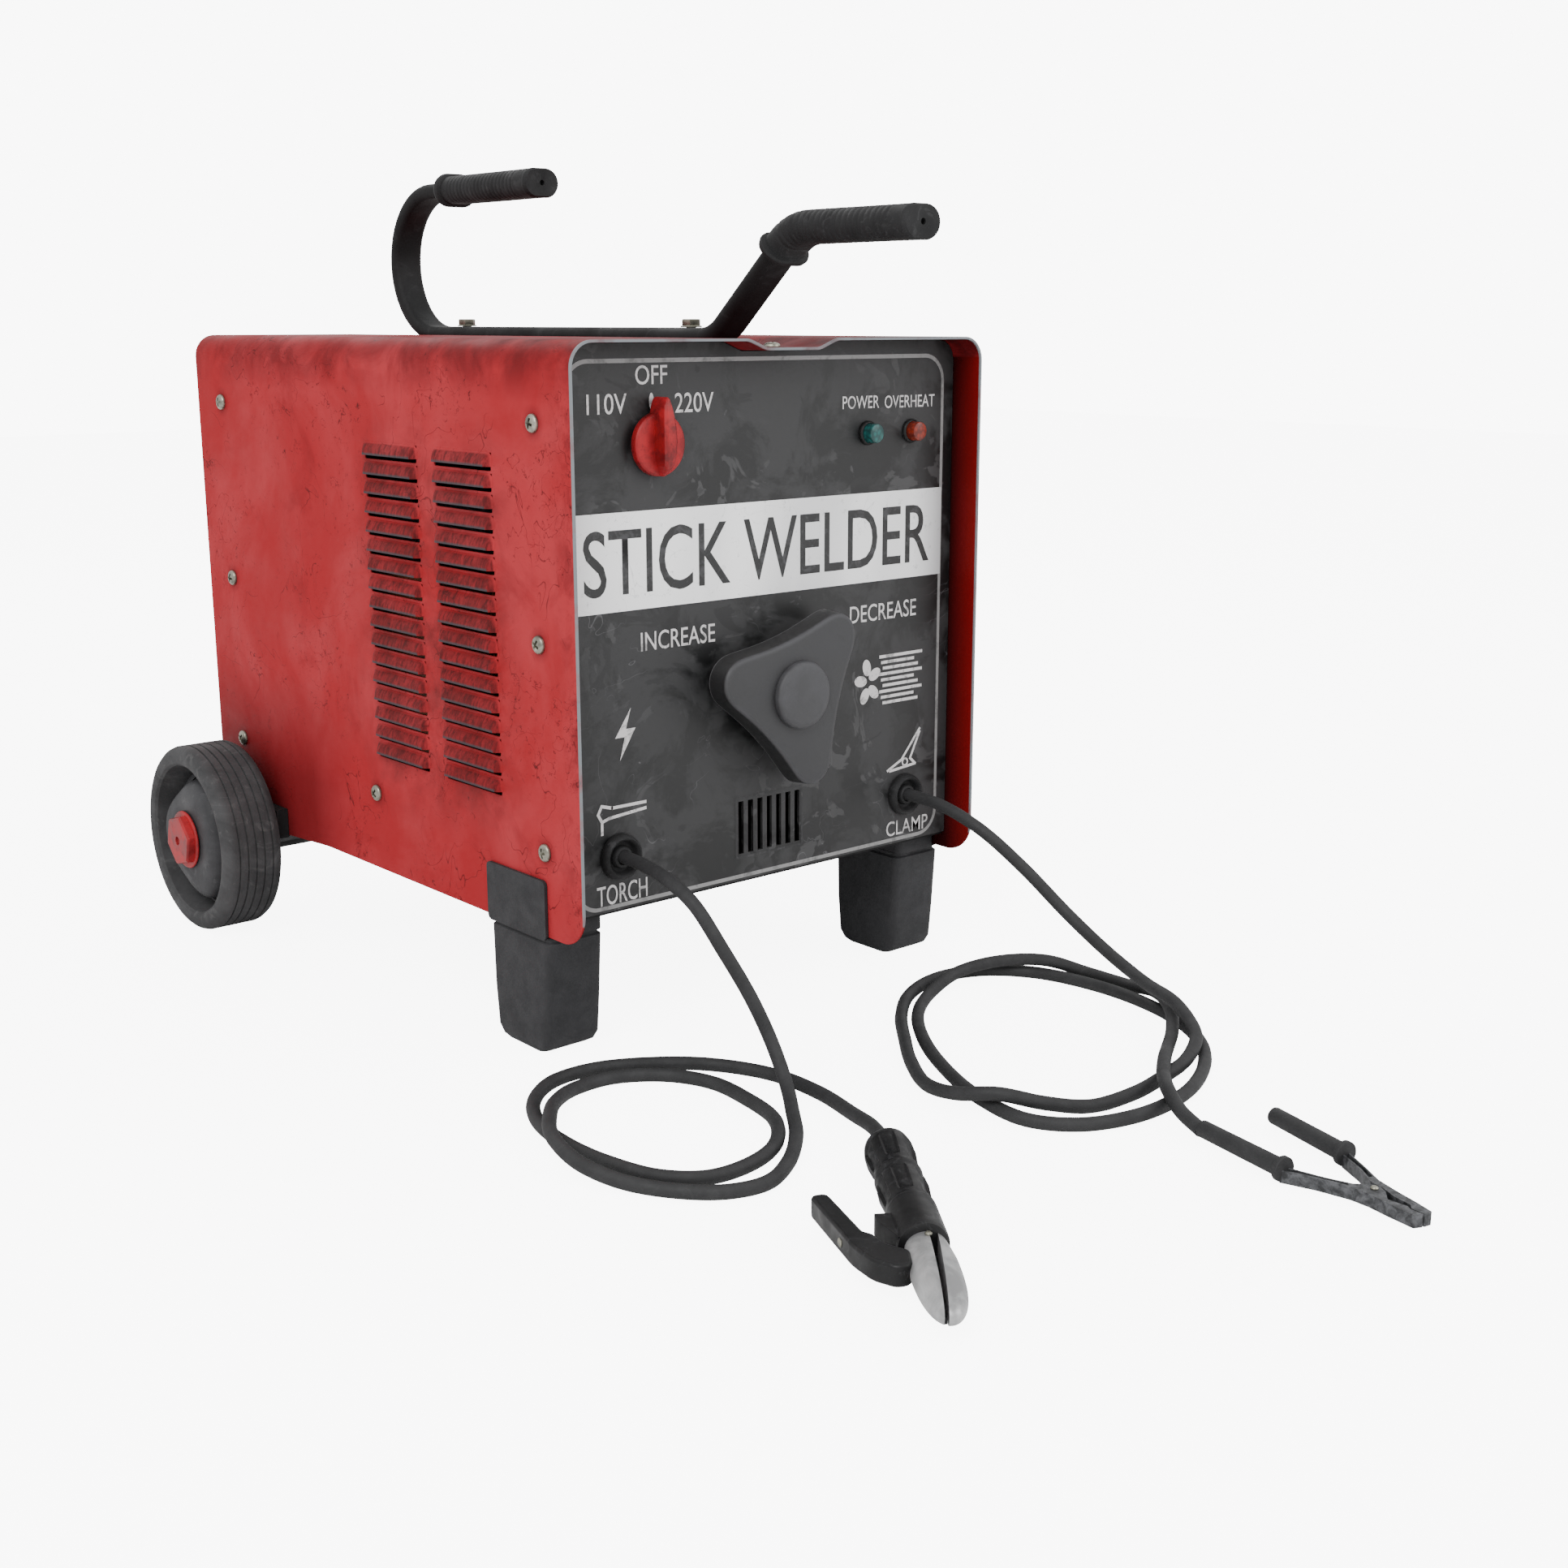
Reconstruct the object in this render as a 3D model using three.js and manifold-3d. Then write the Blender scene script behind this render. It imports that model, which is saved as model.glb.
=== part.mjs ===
// Stick welder: a moving-core arc-welding transformer in a sheet-metal case, with two rear wheels,
// two front feet, a bent carrying handle, a holder lead and an earth lead lying on the floor.
// Millimetres, +Z up, front of the machine towards -Y. The origin is on the floor, under the
// middle of the machine's box (case, wheels and handle, without the two leads).
import * as THREE from 'three';
import Module from 'manifold-3d';
import { mergeVertices } from 'three/addons/utils/BufferGeometryUtils.js';

const wasm = await Module();
wasm.setup();

// ---------------------------------------------------------------- driving dimensions
const WIDTH = 300; // outside width of the cover
const DEPTH = 432; // front lip to rear lip
const HEIGHT = 320.8; // cover top to the bottom edge of its sides
const GROUND = 391; // cover top above the floor
const SHEET = 1.5; // sheet thickness
const GAP = 0.3; // between pieces that touch
const RECESS = 22; // panels behind the lips
const CORNER = 14; // outside radius of the cover's top corners
const TOP_RISE = 7; // louvre hood height
const WHEEL_R = 62.5;
const WHEEL_Y = 388.5; // axle behind the front lip
const WHEEL_X = [160, 200]; // inner and outer face of the tyre
const AXLE_R = 6;
const AXLE_Z = WHEEL_R - GROUND;
const GRIP_FRONT = -98; // front face of the front grip, ahead of the lip
const CABLE_R = 3.8;
const SIDE_CORNER = 20; // lower front corner radius of the cover's sides
const LOBE = { r: 14, drop: 3.3, rise: 284, start: 336 }; // lower rear edge of the sides, round the axle
const FOOT = { x: [115, 152.3], y: [30.5, 89.5], plateTop: -288.5, corner: 14 };
const CHANNEL = { top: 32, bottom: 19, depth: 5 }; // half widths and depth of the pressed channel
const TUBE = { width: 22, height: 10, z: 0.3 }; // oval handle tube, z of its base centreline
const GRIP = { width: 27, height: 18 };
const HANDWHEEL = { z: -198, front: -5, thick: 14, tip: 13.7, big: 31.5, small: 11.8, turn: 45 };
const KNOB = { x: -81.5, z: -55, r: 17, front: 5 };
const CAP = { flange: 19.5, hex: 17.8, height: 5.4 }; // wheel cap, radii and how far it stands out
const LAMPS = { x: [76.6, 112], z: -55 };
const GLAND = { x: 110, z: -279 };
const LOUVRE = { rows: 17, pitch: 11.2, z: -66.8, y: [[75, 134.5], [152, 212]], out: 3.2 };
const SIDE_SCREWS = [
  [34.2, -42.3], [34.2, -157.9], [34.2, -272.5], [216.4, -272.5],
  [396.7, -42.6], [396.7, -157.8], [396.7, -267.1],
];
const SCREW = { bore: 2.6, shank: 2.2, head: 5 }; // radii of the self-tapping case screws
const BOLTS_Y = [334, 91]; // handle bolts behind the lip
const BOLT_BORE = 3.4;
const LIP_SCREW_Y = 19;
const GRILLE = { bars: 7, pitch: 7.25, width: 3.9, z: [-294, -262.5] }; // slots in the front panel
const FAN_GRILLE = { rows: 9, pitch: 11, height: 5, r: 52 }; // slots in the rear panel
const FLANGE_Z = [-258, -20]; // side flanges of both panels
const PAN_TOP = -310.5; // top of the base pan's floor
const PAN_FLANGE_Z = -262; // top of its side flanges
const SPINDLE = { bore: 6.6, bearingY: [345, 347] }; // lead screw's holes and its rear bearing plate
const CORE = { y: [190, 250], x: 115, z: [-297, -97], window: { x: 70, z: [-257, -137] } };
const FAN_Z = HANDWHEEL.z;

// The machine's box runs from the front grip to the back of the wheels; its middle is the origin.
const LIP_Y = -(GRIP_FRONT + WHEEL_Y + WHEEL_R) / 2;

// ---------------------------------------------------------------- materials
const paint = (color, roughness, metalness) =>
  new THREE.MeshStandardMaterial({ color, roughness, metalness });
const RED = paint('#b8383a', 0.45, 0.1);
const PANEL_GREY = paint('#4a4a4b', 0.6, 0.1);
const BLACK_STEEL = paint('#3b3b3d', 0.5, 0.3);
const RUBBER = paint('#3a3a3c', 0.85, 0);
const TYRE = paint('#454547', 0.9, 0);
const BLACK_PLASTIC = paint('#3c3c3e', 0.6, 0);
const RED_PLASTIC = paint('#c23f42', 0.45, 0);
const GREEN_LENS = paint('#2f7f78', 0.3, 0);
const ORANGE_LENS = paint('#c8552f', 0.3, 0);
const ZINC = paint('#aaa89b', 0.35, 0.9);
const STEEL = paint('#8c8f93', 0.4, 0.9);
const COPPER = paint('#8a4b2a', 0.5, 0.5);
const LAMINATE = paint('#5c5f63', 0.6, 0.6);

// ---------------------------------------------------------------- solids and booleans
function toManifold(geometry) {
  const bare = geometry.clone();
  for (const name of ['normal', 'uv']) if (bare.hasAttribute(name)) bare.deleteAttribute(name);
  const merged = mergeVertices(bare, 1e-4);
  const mesh = {
    numProp: 3,
    vertProperties: new Float32Array(merged.attributes.position.array),
    triVerts: new Uint32Array(merged.index.array),
  };
  const solid = new wasm.Manifold(new wasm.Mesh(mesh));
  if (solid.volume() > 0) return solid;
  flip(mesh.triVerts); // the outline ran the other way round, so its faces point inwards
  return new wasm.Manifold(new wasm.Mesh(mesh));
}

function flip(index) {
  for (let i = 0; i < index.length; i += 3) [index[i], index[i + 1]] = [index[i + 1], index[i]];
}

function fromManifold(solid) {
  const mesh = solid.getMesh();
  const geometry = new THREE.BufferGeometry();
  geometry.setAttribute('position', new THREE.BufferAttribute(new Float32Array(mesh.vertProperties), 3));
  geometry.setIndex(new THREE.BufferAttribute(new Uint32Array(mesh.triVerts), 1));
  geometry.computeVertexNormals();
  return geometry;
}

function combine(operation, first, ...others) {
  let solid = toManifold(first);
  for (const other of others) solid = solid[operation](toManifold(other));
  return fromManifold(solid);
}
const join = (...parts) => combine('add', ...parts);
const cut = (...parts) => combine('subtract', ...parts);
const common = (...parts) => combine('intersect', ...parts);

function box(x, y, z) {
  const geometry = new THREE.BoxGeometry(x[1] - x[0], y[1] - y[0], z[1] - z[0]);
  return geometry.translate((x[0] + x[1]) / 2, (y[0] + y[1]) / 2, (z[0] + z[1]) / 2);
}

const extrude = (shape, depth, curveSegments = 6) =>
  new THREE.ExtrudeGeometry(shape, { depth, bevelEnabled: false, steps: 1, curveSegments });

const polygon = (points) => new THREE.Shape(points.map(([a, b]) => new THREE.Vector2(a, b)));

// A front outline (x, z) made solid from y0 to y1.
const alongY = (shape, y0, y1, segments) =>
  extrude(shape, y1 - y0, segments).rotateX(Math.PI / 2).translate(0, y1, 0);

// A side outline (y, z) made solid from x0 to x1.
function alongX(shape, x0, x1, segments) {
  const geometry = extrude(shape, x1 - x0, segments);
  const turn = new THREE.Matrix4().set(0, 0, 1, 0, 1, 0, 0, 0, 0, 1, 0, 0, 0, 0, 0, 1);
  return geometry.applyMatrix4(turn).translate(x0, 0, 0);
}

// A plan outline (x, y) made solid from z0 to z1.
const alongZ = (shape, z0, z1, segments) => extrude(shape, z1 - z0, segments).translate(0, 0, z0);

function cylinder(axis, radius, from, to, centre, sides = 16) {
  const geometry = new THREE.CylinderGeometry(radius, radius, to - from, sides);
  geometry.translate(0, (from + to) / 2, 0);
  if (axis === 'x') geometry.rotateZ(-Math.PI / 2).translate(0, centre[0], centre[1]);
  if (axis === 'y') geometry.translate(centre[0], 0, centre[1]);
  if (axis === 'z') geometry.rotateX(Math.PI / 2).translate(centre[0], centre[1], 0);
  return geometry;
}

// A profile of (radius, height) points turned round the Y axis.
const turned = (profile, sides = 24) =>
  new THREE.LatheGeometry(profile.map(([r, y]) => new THREE.Vector2(r, y)), sides);

// A stadium outline with round ends, width along x.
function stadium(width, height) {
  const shape = new THREE.Shape();
  const r = height / 2;
  const flat = width / 2 - r;
  shape.moveTo(-flat, -r);
  shape.lineTo(flat, -r);
  shape.absarc(flat, 0, r, -Math.PI / 2, Math.PI / 2, false);
  shape.lineTo(-flat, r);
  shape.absarc(-flat, 0, r, Math.PI / 2, Math.PI * 1.5, false);
  return shape;
}

// An outline carried along (y, z) points in the plane x = 0, its own x staying along X.
function sweepYZ(shape, points, curveSegments = 3) {
  const outline = shape.getPoints(curveSegments).slice(0, -1);
  const count = outline.length;
  const vertices = [];
  const index = [];
  points.forEach(([y, z], i) => {
    const [before, after] = [points[Math.max(i - 1, 0)], points[Math.min(i + 1, points.length - 1)]];
    const length = Math.hypot(after[0] - before[0], after[1] - before[1]);
    const up = [-(after[1] - before[1]) / length, (after[0] - before[0]) / length];
    for (const p of outline) vertices.push(p.x, y + up[0] * p.y, z + up[1] * p.y);
  });
  for (let i = 0; i < points.length - 1; i++) {
    for (let k = 0; k < count; k++) {
      const [a, b] = [i * count + k, i * count + ((k + 1) % count)];
      index.push(a, b, b + count, a, b + count, a + count);
    }
  }
  const last = (points.length - 1) * count;
  for (let k = 1; k < count - 1; k++) {
    index.push(0, k + 1, k);
    index.push(last, last + k, last + k + 1);
  }
  const geometry = new THREE.BufferGeometry();
  geometry.setAttribute('position', new THREE.Float32BufferAttribute(vertices, 3));
  return geometry.setIndex(index);
}

const mirrorX = (geometry) => {
  const copy = fromManifold(toManifold(geometry));
  copy.scale(-1, 1, 1);
  flip(copy.index.array);
  copy.computeVertexNormals();
  return copy;
};

// ---------------------------------------------------------------- scene graph
const welder = new THREE.Group();
const machine = new THREE.Group(); // y back from the front lip, z up from the cover's top
machine.position.set(0, LIP_Y, GROUND);
const floorGroup = new THREE.Group(); // leads, holder and clamp, z up from the floor
welder.add(machine, floorGroup);

function add(group, name, geometry, material) {
  const mesh = new THREE.Mesh(fromManifold(toManifold(geometry)), material.clone());
  mesh.name = name;
  group.add(mesh);
}

// ---------------------------------------------------------------- case
// The cover's cross-section outline, inset from the outside, from left foot to right foot.
function coverOutline(inset, bottom) {
  const half = WIDTH / 2 - inset;
  const r = CORNER - inset;
  const centre = WIDTH / 2 - CORNER;
  const points = [[-half, bottom]];
  for (let i = 0; i <= 4; i++) {
    const a = Math.PI - (i * Math.PI) / 8;
    points.push([-centre + r * Math.cos(a), -CORNER + r * Math.sin(a)]);
  }
  const slope = inset * 0.3;
  points.push([-CHANNEL.top - slope, -inset], [-CHANNEL.bottom - slope, -CHANNEL.depth - inset]);
  points.push([CHANNEL.bottom + slope, -CHANNEL.depth - inset], [CHANNEL.top + slope, -inset]);
  for (let i = 0; i <= 4; i++) {
    const a = Math.PI / 2 - (i * Math.PI) / 8;
    points.push([centre + r * Math.cos(a), -CORNER + r * Math.sin(a)]);
  }
  points.push([half, bottom]);
  return points;
}

// The lower rear edge of each side, dropping to a lobe round the axle.
function axleLobe(side, inset) {
  const edge = -HEIGHT - LOBE.drop - inset;
  side.lineTo(LOBE.start - inset, edge);
  side.lineTo(WHEEL_Y - LOBE.r - 6, edge);
  side.absarc(WHEEL_Y, AXLE_Z, LOBE.r + inset, Math.PI * 1.05, Math.PI * 1.95, false);
  side.lineTo(WHEEL_Y + LOBE.r + 6, edge);
  side.lineTo(DEPTH, edge);
}

function makeCover() {
  const low = AXLE_Z - LOBE.r - 2;
  const sheet = polygon([...coverOutline(0, low), ...coverOutline(SHEET, low).reverse()]);
  let body = alongY(sheet, 0, DEPTH);
  const side = new THREE.Shape();
  const r = SIDE_CORNER;
  side.moveTo(0, 1);
  side.lineTo(0, -HEIGHT + r);
  side.absarc(r, -HEIGHT + r, r, Math.PI, Math.PI * 1.5, false);
  side.lineTo(LOBE.rise, -HEIGHT);
  axleLobe(side, 0);
  side.lineTo(DEPTH, 1);
  body = common(body, alongX(side, -WIDTH, WIDTH));
  const hoods = [];
  const slots = [];
  for (const sign of [-1, 1]) {
    for (const [y0, y1] of LOUVRE.y) {
      for (let row = 0; row < LOUVRE.rows; row++) {
        const z = LOUVRE.z - row * LOUVRE.pitch;
        const face = (sign * WIDTH) / 2;
        const root = face - sign * 0.5;
        const wedge = [[root, z + TOP_RISE + 1], [face + sign * LOUVRE.out, z], [root, z]];
        hoods.push(alongY(polygon(wedge), y0, y1));
        const through = [face - sign * 3, face + sign].sort((a, b) => a - b);
        slots.push(box(through, [y0 + 1, y1 - 1], [z - 2.6, z - 0.2]));
      }
    }
    for (const [y, z] of SIDE_SCREWS) {
      const face = (sign * WIDTH) / 2;
      slots.push(cylinder('x', SCREW.bore, face - 3, face + 3, [y, z], 8));
    }
  }
  for (const y of BOLTS_Y) slots.push(cylinder('z', BOLT_BORE, -9, 2, [0, y], 8));
  slots.push(cylinder('z', SCREW.bore, -9, 2, [0, LIP_SCREW_Y], 8));
  slots.push(cylinder('x', AXLE_R + 0.4, -WIDTH, WIDTH, [WHEEL_Y, AXLE_Z], 20));
  return cut(join(body, ...hoods), ...slots);
}
add(machine, 'cover', makeCover(), RED);

// A panel plate with side flanges, shaped to the inside of the cover, with its holes cut.
function makePanel(y0, flangeY, holes) {
  const inset = SHEET + 0.6;
  const outline = coverOutline(inset, -310).reverse();
  const plate = alongY(polygon(outline), y0, y0 + 2);
  const edge = WIDTH / 2 - inset;
  const flanges = [-1, 1].map((s) =>
    box(s > 0 ? [edge - SHEET, edge] : [-edge, -edge + SHEET], flangeY, FLANGE_Z));
  const bores = [];
  const y = (flangeY[0] + flangeY[1]) / 2;
  for (const [sy, sz] of SIDE_SCREWS) {
    if (Math.abs(sy - y) > 20 || sz < FLANGE_Z[0]) continue;
    bores.push(cylinder('x', SCREW.bore, -WIDTH, WIDTH, [sy, sz], 8));
  }
  return cut(join(plate, ...flanges), ...bores, ...holes);
}

const frontHoles = [
  cylinder('y', 5, 20, 26, [KNOB.x, KNOB.z], 12),
  cylinder('y', SPINDLE.bore + 0.2, 20, 26, [0, HANDWHEEL.z], 16),
  ...LAMPS.x.map((x) => cylinder('y', 5.3, 20, 26, [x, LAMPS.z], 12)),
  ...[-1, 1].map((s) => cylinder('y', 9, 20, 26, [s * GLAND.x, GLAND.z], 16)),
];
for (let i = 0; i < GRILLE.bars; i++) {
  const x = (i - (GRILLE.bars - 1) / 2) * GRILLE.pitch;
  frontHoles.push(box([x - GRILLE.width / 2, x + GRILLE.width / 2], [20, 26], GRILLE.z));
}
add(machine, 'front_panel', makePanel(RECESS, [RECESS, RECESS + 22], frontHoles), PANEL_GREY);

const rearHoles = [cylinder('y', 9, 400, 420, [-GLAND.x, GLAND.z], 16)];
for (let i = 0; i < FAN_GRILLE.rows; i++) {
  const drop = (i - (FAN_GRILLE.rows - 1) / 2) * FAN_GRILLE.pitch;
  const half = Math.sqrt(FAN_GRILLE.r ** 2 - drop ** 2);
  const z = [FAN_Z + drop - FAN_GRILLE.height / 2, FAN_Z + drop + FAN_GRILLE.height / 2];
  rearHoles.push(box([-half, half], [400, 420], z));
}
const rearY = DEPTH - RECESS - 2;
const rearPanel = makePanel(rearY, [rearY - 20, rearY + 2], rearHoles);
add(machine, 'rear_panel', rearPanel, PANEL_GREY);

// Base pan: floor sheet, turned-up side flanges, an upright for the lead screw and the axle ears.
function makeBasePan() {
  const edge = WIDTH / 2 - SHEET - 0.6;
  const along = [RECESS + 2.4, rearY - 0.4];
  const pieces = [
    box([-edge, edge], along, [PAN_TOP - SHEET, PAN_TOP]),
    box([-20, 20], SPINDLE.bearingY, [PAN_TOP - 0.5, HANDWHEEL.z + 16]),
  ];
  for (const s of [-1, 1]) {
    const order = (a, b) => (s > 0 ? [a, b] : [-b, -a]);
    pieces.push(box(order(edge - SHEET, edge), along, [PAN_TOP - SHEET, PAN_FLANGE_Z]));
    const ear = new THREE.Shape();
    ear.moveTo(338, -HEIGHT - 3.7);
    ear.lineTo(346, -HEIGHT - 6.5);
    ear.lineTo(WHEEL_Y - 14, AXLE_Z - 10);
    ear.absarc(WHEEL_Y, AXLE_Z, 17, Math.PI * 1.23, Math.PI * 1.77, false);
    ear.lineTo(430, -HEIGHT - 6.5);
    ear.lineTo(430, -HEIGHT - 3.7);
    pieces.push(alongX(ear, ...order(110, 158.5)));
    pieces.push(box(order(110, 146), [340, 428], [-HEIGHT - 4.5, PAN_TOP - 0.5]));
    pieces.push(box(order(WIDTH / 2 + 0.5, 158.5), [338, 430], [-HEIGHT - 4.5, -306]));
  }
  const lobe = new THREE.Shape();
  lobe.moveTo(LOBE.start - 10, -300);
  axleLobe(lobe, GAP);
  lobe.lineTo(DEPTH, -300);
  const wall = [WIDTH / 2 - SHEET - GAP, WIDTH / 2 + GAP];
  const holes = [
    alongX(lobe, ...wall),
    alongX(lobe, -wall[1], -wall[0]),
    cylinder('x', AXLE_R + 0.3, -WIDTH, WIDTH, [WHEEL_Y, AXLE_Z], 24),
    cylinder('y', SPINDLE.bore, 340, 350, [0, HANDWHEEL.z], 16),
  ];
  for (const [y, z] of SIDE_SCREWS) {
    if (z < PAN_FLANGE_Z) holes.push(cylinder('x', SCREW.bore, -WIDTH, WIDTH, [y, z], 8));
  }
  return cut(join(...pieces), ...holes);
}
add(machine, 'base_pan', makeBasePan(), BLACK_STEEL);

function makeSideScrew(sign, y, z) {
  const face = (sign * WIDTH) / 2;
  const { shank, head } = SCREW;
  const profile = [
    [0, -3.4], [shank, -3.4], [shank, GAP], [head, GAP], [head - 0.4, 1.6], [head - 1.8, 2.5], [0, 2.9],
  ];
  return turned(profile, 12).rotateZ(-sign * Math.PI / 2).translate(face, y, z);
}
SIDE_SCREWS.forEach(([y, z], i) => {
  add(machine, `side_screw_left_${i + 1}`, makeSideScrew(-1, y, z), ZINC);
  add(machine, `side_screw_right_${i + 1}`, makeSideScrew(1, y, z), ZINC);
});
const lipScrewProfile = [[0, -4], [SCREW.shank, -4], [SCREW.shank, GAP], [4.8, GAP], [4.3, 1.5], [0, 2.5]];
const lipScrew = turned(lipScrewProfile, 12).rotateX(Math.PI / 2);
add(machine, 'lip_screw', lipScrew.translate(0, LIP_SCREW_Y, -CHANNEL.depth), ZINC);

// ---------------------------------------------------------------- carrying handle
const LOOP_R = 46.6; // rear loop, centre of the tube
const LOOP_Y = 364;
const RISE = 0.71; // angle of the front rise, radians
const FRONT_GRIP_Z = 58; // centre of the front grip

function handlePoints() {
  const top = TUBE.z + 2 * LOOP_R;
  const points = [[243, top]];
  for (let i = 0; i <= 12; i++) {
    const a = Math.PI / 2 - (i * Math.PI) / 12;
    points.push([LOOP_Y + LOOP_R * Math.cos(a), TUBE.z + LOOP_R + LOOP_R * Math.sin(a)]);
  }
  bend(points, 63.5, TUBE.z, Math.PI, Math.PI - RISE, 30);
  bend(points, -3.7, FRONT_GRIP_Z, Math.PI - RISE, Math.PI, 34);
  points.push([GRIP_FRONT + 3, FRONT_GRIP_Z]);
  return points;
}

// Adds an arc of the given radius at the corner (y, z), turning from one heading to the next.
function bend(points, y, z, from, to, radius) {
  const turn = Math.abs(to - from);
  const reach = radius * Math.tan(turn / 2);
  const side = Math.sign(to - from);
  const start = [y - reach * Math.cos(from), z - reach * Math.sin(from)];
  const centre = [start[0] - side * radius * Math.sin(from), start[1] + side * radius * Math.cos(from)];
  for (let i = 0; i <= 4; i++) {
    const a = from + ((to - from) * i) / 4;
    points.push([centre[0] + side * radius * Math.sin(a), centre[1] - side * radius * Math.cos(a)]);
  }
}

const handle = handlePoints();
const boltBores = BOLTS_Y.map((y) => cylinder('z', BOLT_BORE, -9, 9, [0, y], 8));
const tube = sweepYZ(stadium(TUBE.width, TUBE.height), handle, 4);
add(machine, 'handle_tube', cut(tube, ...boltBores), BLACK_STEEL);

const gripTop = TUBE.z + 2 * LOOP_R;
function makeRearGrip() {
  const body = alongY(stadium(GRIP.width, GRIP.height), 240, 343, 6);
  const flange = alongY(stadium(GRIP.width + 5, GRIP.height + 5), 340, 345, 6);
  const bore = alongY(stadium(TUBE.width + 0.8, TUBE.height + 0.8), 242.5, 350, 6);
  return cut(join(body, flange), bore).translate(0, 0, gripTop);
}
add(machine, 'rear_grip', makeRearGrip(), RUBBER);

function makeFrontGrip() {
  const [low, high] = handle.slice(-7, -5); // the two ends of the straight rise
  const bends = handle.slice(-5, -1);
  const length = Math.hypot(high[0] - low[0], high[1] - low[1]);
  const heading = [(high[0] - low[0]) / length, (high[1] - low[1]) / length];
  const on = (distance) => [high[0] + heading[0] * distance, high[1] + heading[1] * distance];
  const path = (before, front) => [on(before), on(0), ...bends, [front, FRONT_GRIP_Z]];
  const body = sweepYZ(stadium(GRIP.width, GRIP.height), path(-6, GRIP_FRONT), 5);
  const flange = sweepYZ(stadium(GRIP.width + 5, GRIP.height + 5), [on(-6), on(-1.5)], 5);
  const bore = sweepYZ(stadium(TUBE.width + 0.9, TUBE.height + 0.9), path(-12, GRIP_FRONT + 2.6), 5);
  return cut(join(body, flange), bore);
}
add(machine, 'front_grip', makeFrontGrip(), RUBBER);

function makeHandleBolt(y) {
  const headBase = TUBE.z + TUBE.height / 2 + GAP;
  const washer = cylinder('z', 6.2, headBase, headBase + 1, [0, y], 16);
  const acrossFlats = 10;
  const head = cylinder('z', acrossFlats / Math.sqrt(3), headBase + 0.9, headBase + 4.6, [0, y], 6);
  const shank = cylinder('z', 3, -12, headBase + 0.5, [0, y], 12);
  return join(washer, head, shank);
}
add(machine, 'handle_bolt_rear', makeHandleBolt(BOLTS_Y[0]), ZINC);
add(machine, 'handle_bolt_front', makeHandleBolt(BOLTS_Y[1]), ZINC);

// ---------------------------------------------------------------- feet and wheels
function makeFoot() {
  const { x, y, plateTop, corner } = FOOT;
  const low = -GROUND;
  const side = new THREE.Shape();
  side.moveTo(y[0], -HEIGHT - 0.5);
  side.lineTo(y[0], low + corner);
  side.absarc(y[0] + corner, low + corner, corner, Math.PI, Math.PI * 1.5, false);
  side.absarc(y[1] - corner, low + corner, corner, Math.PI * 1.5, Math.PI * 2, false);
  side.lineTo(y[1], -HEIGHT - 0.5);
  const block = alongX(side, -x[1], -x[0], 5);
  const plate = box([-x[1], -WIDTH / 2 - GAP], [y[0] + 3, y[1] + 2], [-HEIGHT - 1.5, plateTop]);
  const tongue = box([-WIDTH / 2 + SHEET + GAP, -x[0]], [y[0], y[1]], [-HEIGHT - 1.5, -312.4]);
  return join(block, plate, tongue);
}
const foot = makeFoot();
add(machine, 'foot_left', foot, BLACK_PLASTIC);
add(machine, 'foot_right', mirrorX(foot), BLACK_PLASTIC);

add(machine, 'axle', cylinder('x', AXLE_R, -196, 196, [WHEEL_Y, AXLE_Z], 24), STEEL);

// The tyre's section, from the rim seat out over the tread: (radius, distance from the inner face).
const TYRE_SECTION = [
  [49, 0], [59, 0.6], [61.6, 2.2], [WHEEL_R, 6], [WHEEL_R, 34], [61.6, 37.4], [58, 39.2], [51, 40],
  [49.5, 38.5], [47, 24], [47, 0.8],
];
const HUB_SECTION = [
  [AXLE_R + 0.3, 2], [20, 2], [22, 8], [40, 14], [44, 6], [46.7, 6], [46.7, 24], [40, 24],
  [36, 22], [31, 26], [29, 38], [25, 39], [AXLE_R + 0.3, 39],
];

function wheelPiece(section, sign, sides) {
  const closed = [...section, section[0]].reverse();
  return turned(closed, sides).rotateZ(-Math.PI / 2).rotateY(sign > 0 ? 0 : Math.PI)
    .translate(sign * WHEEL_X[0], WHEEL_Y, AXLE_Z);
}
function makeCap(sign) {
  const { flange: rim, hex, height } = CAP;
  const flange = turned([[0, 0], [rim, 0], [rim, 1.2], [rim - 1, 2], [0, 2]], 24);
  const hexagon = new THREE.CylinderGeometry(hex - 1, hex, height, 6).translate(0, 1.5 + height / 2, 0);
  const eye = new THREE.CylinderGeometry(2.4, 2.4, 4, 10).translate(0, 1.5 + height, 0);
  return cut(join(flange, hexagon), eye).rotateZ(-Math.PI / 2).rotateY(sign > 0 ? 0 : Math.PI)
    .translate(sign * (WHEEL_X[0] + 39.5), WHEEL_Y, AXLE_Z);
}
for (const [side, sign] of [['left', -1], ['right', 1]]) {
  add(machine, `tyre_${side}`, wheelPiece(TYRE_SECTION, sign, 36), TYRE);
  add(machine, `hub_${side}`, wheelPiece(HUB_SECTION, sign, 24), BLACK_PLASTIC);
  add(machine, `hub_cap_${side}`, makeCap(sign), RED_PLASTIC);
}

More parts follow.
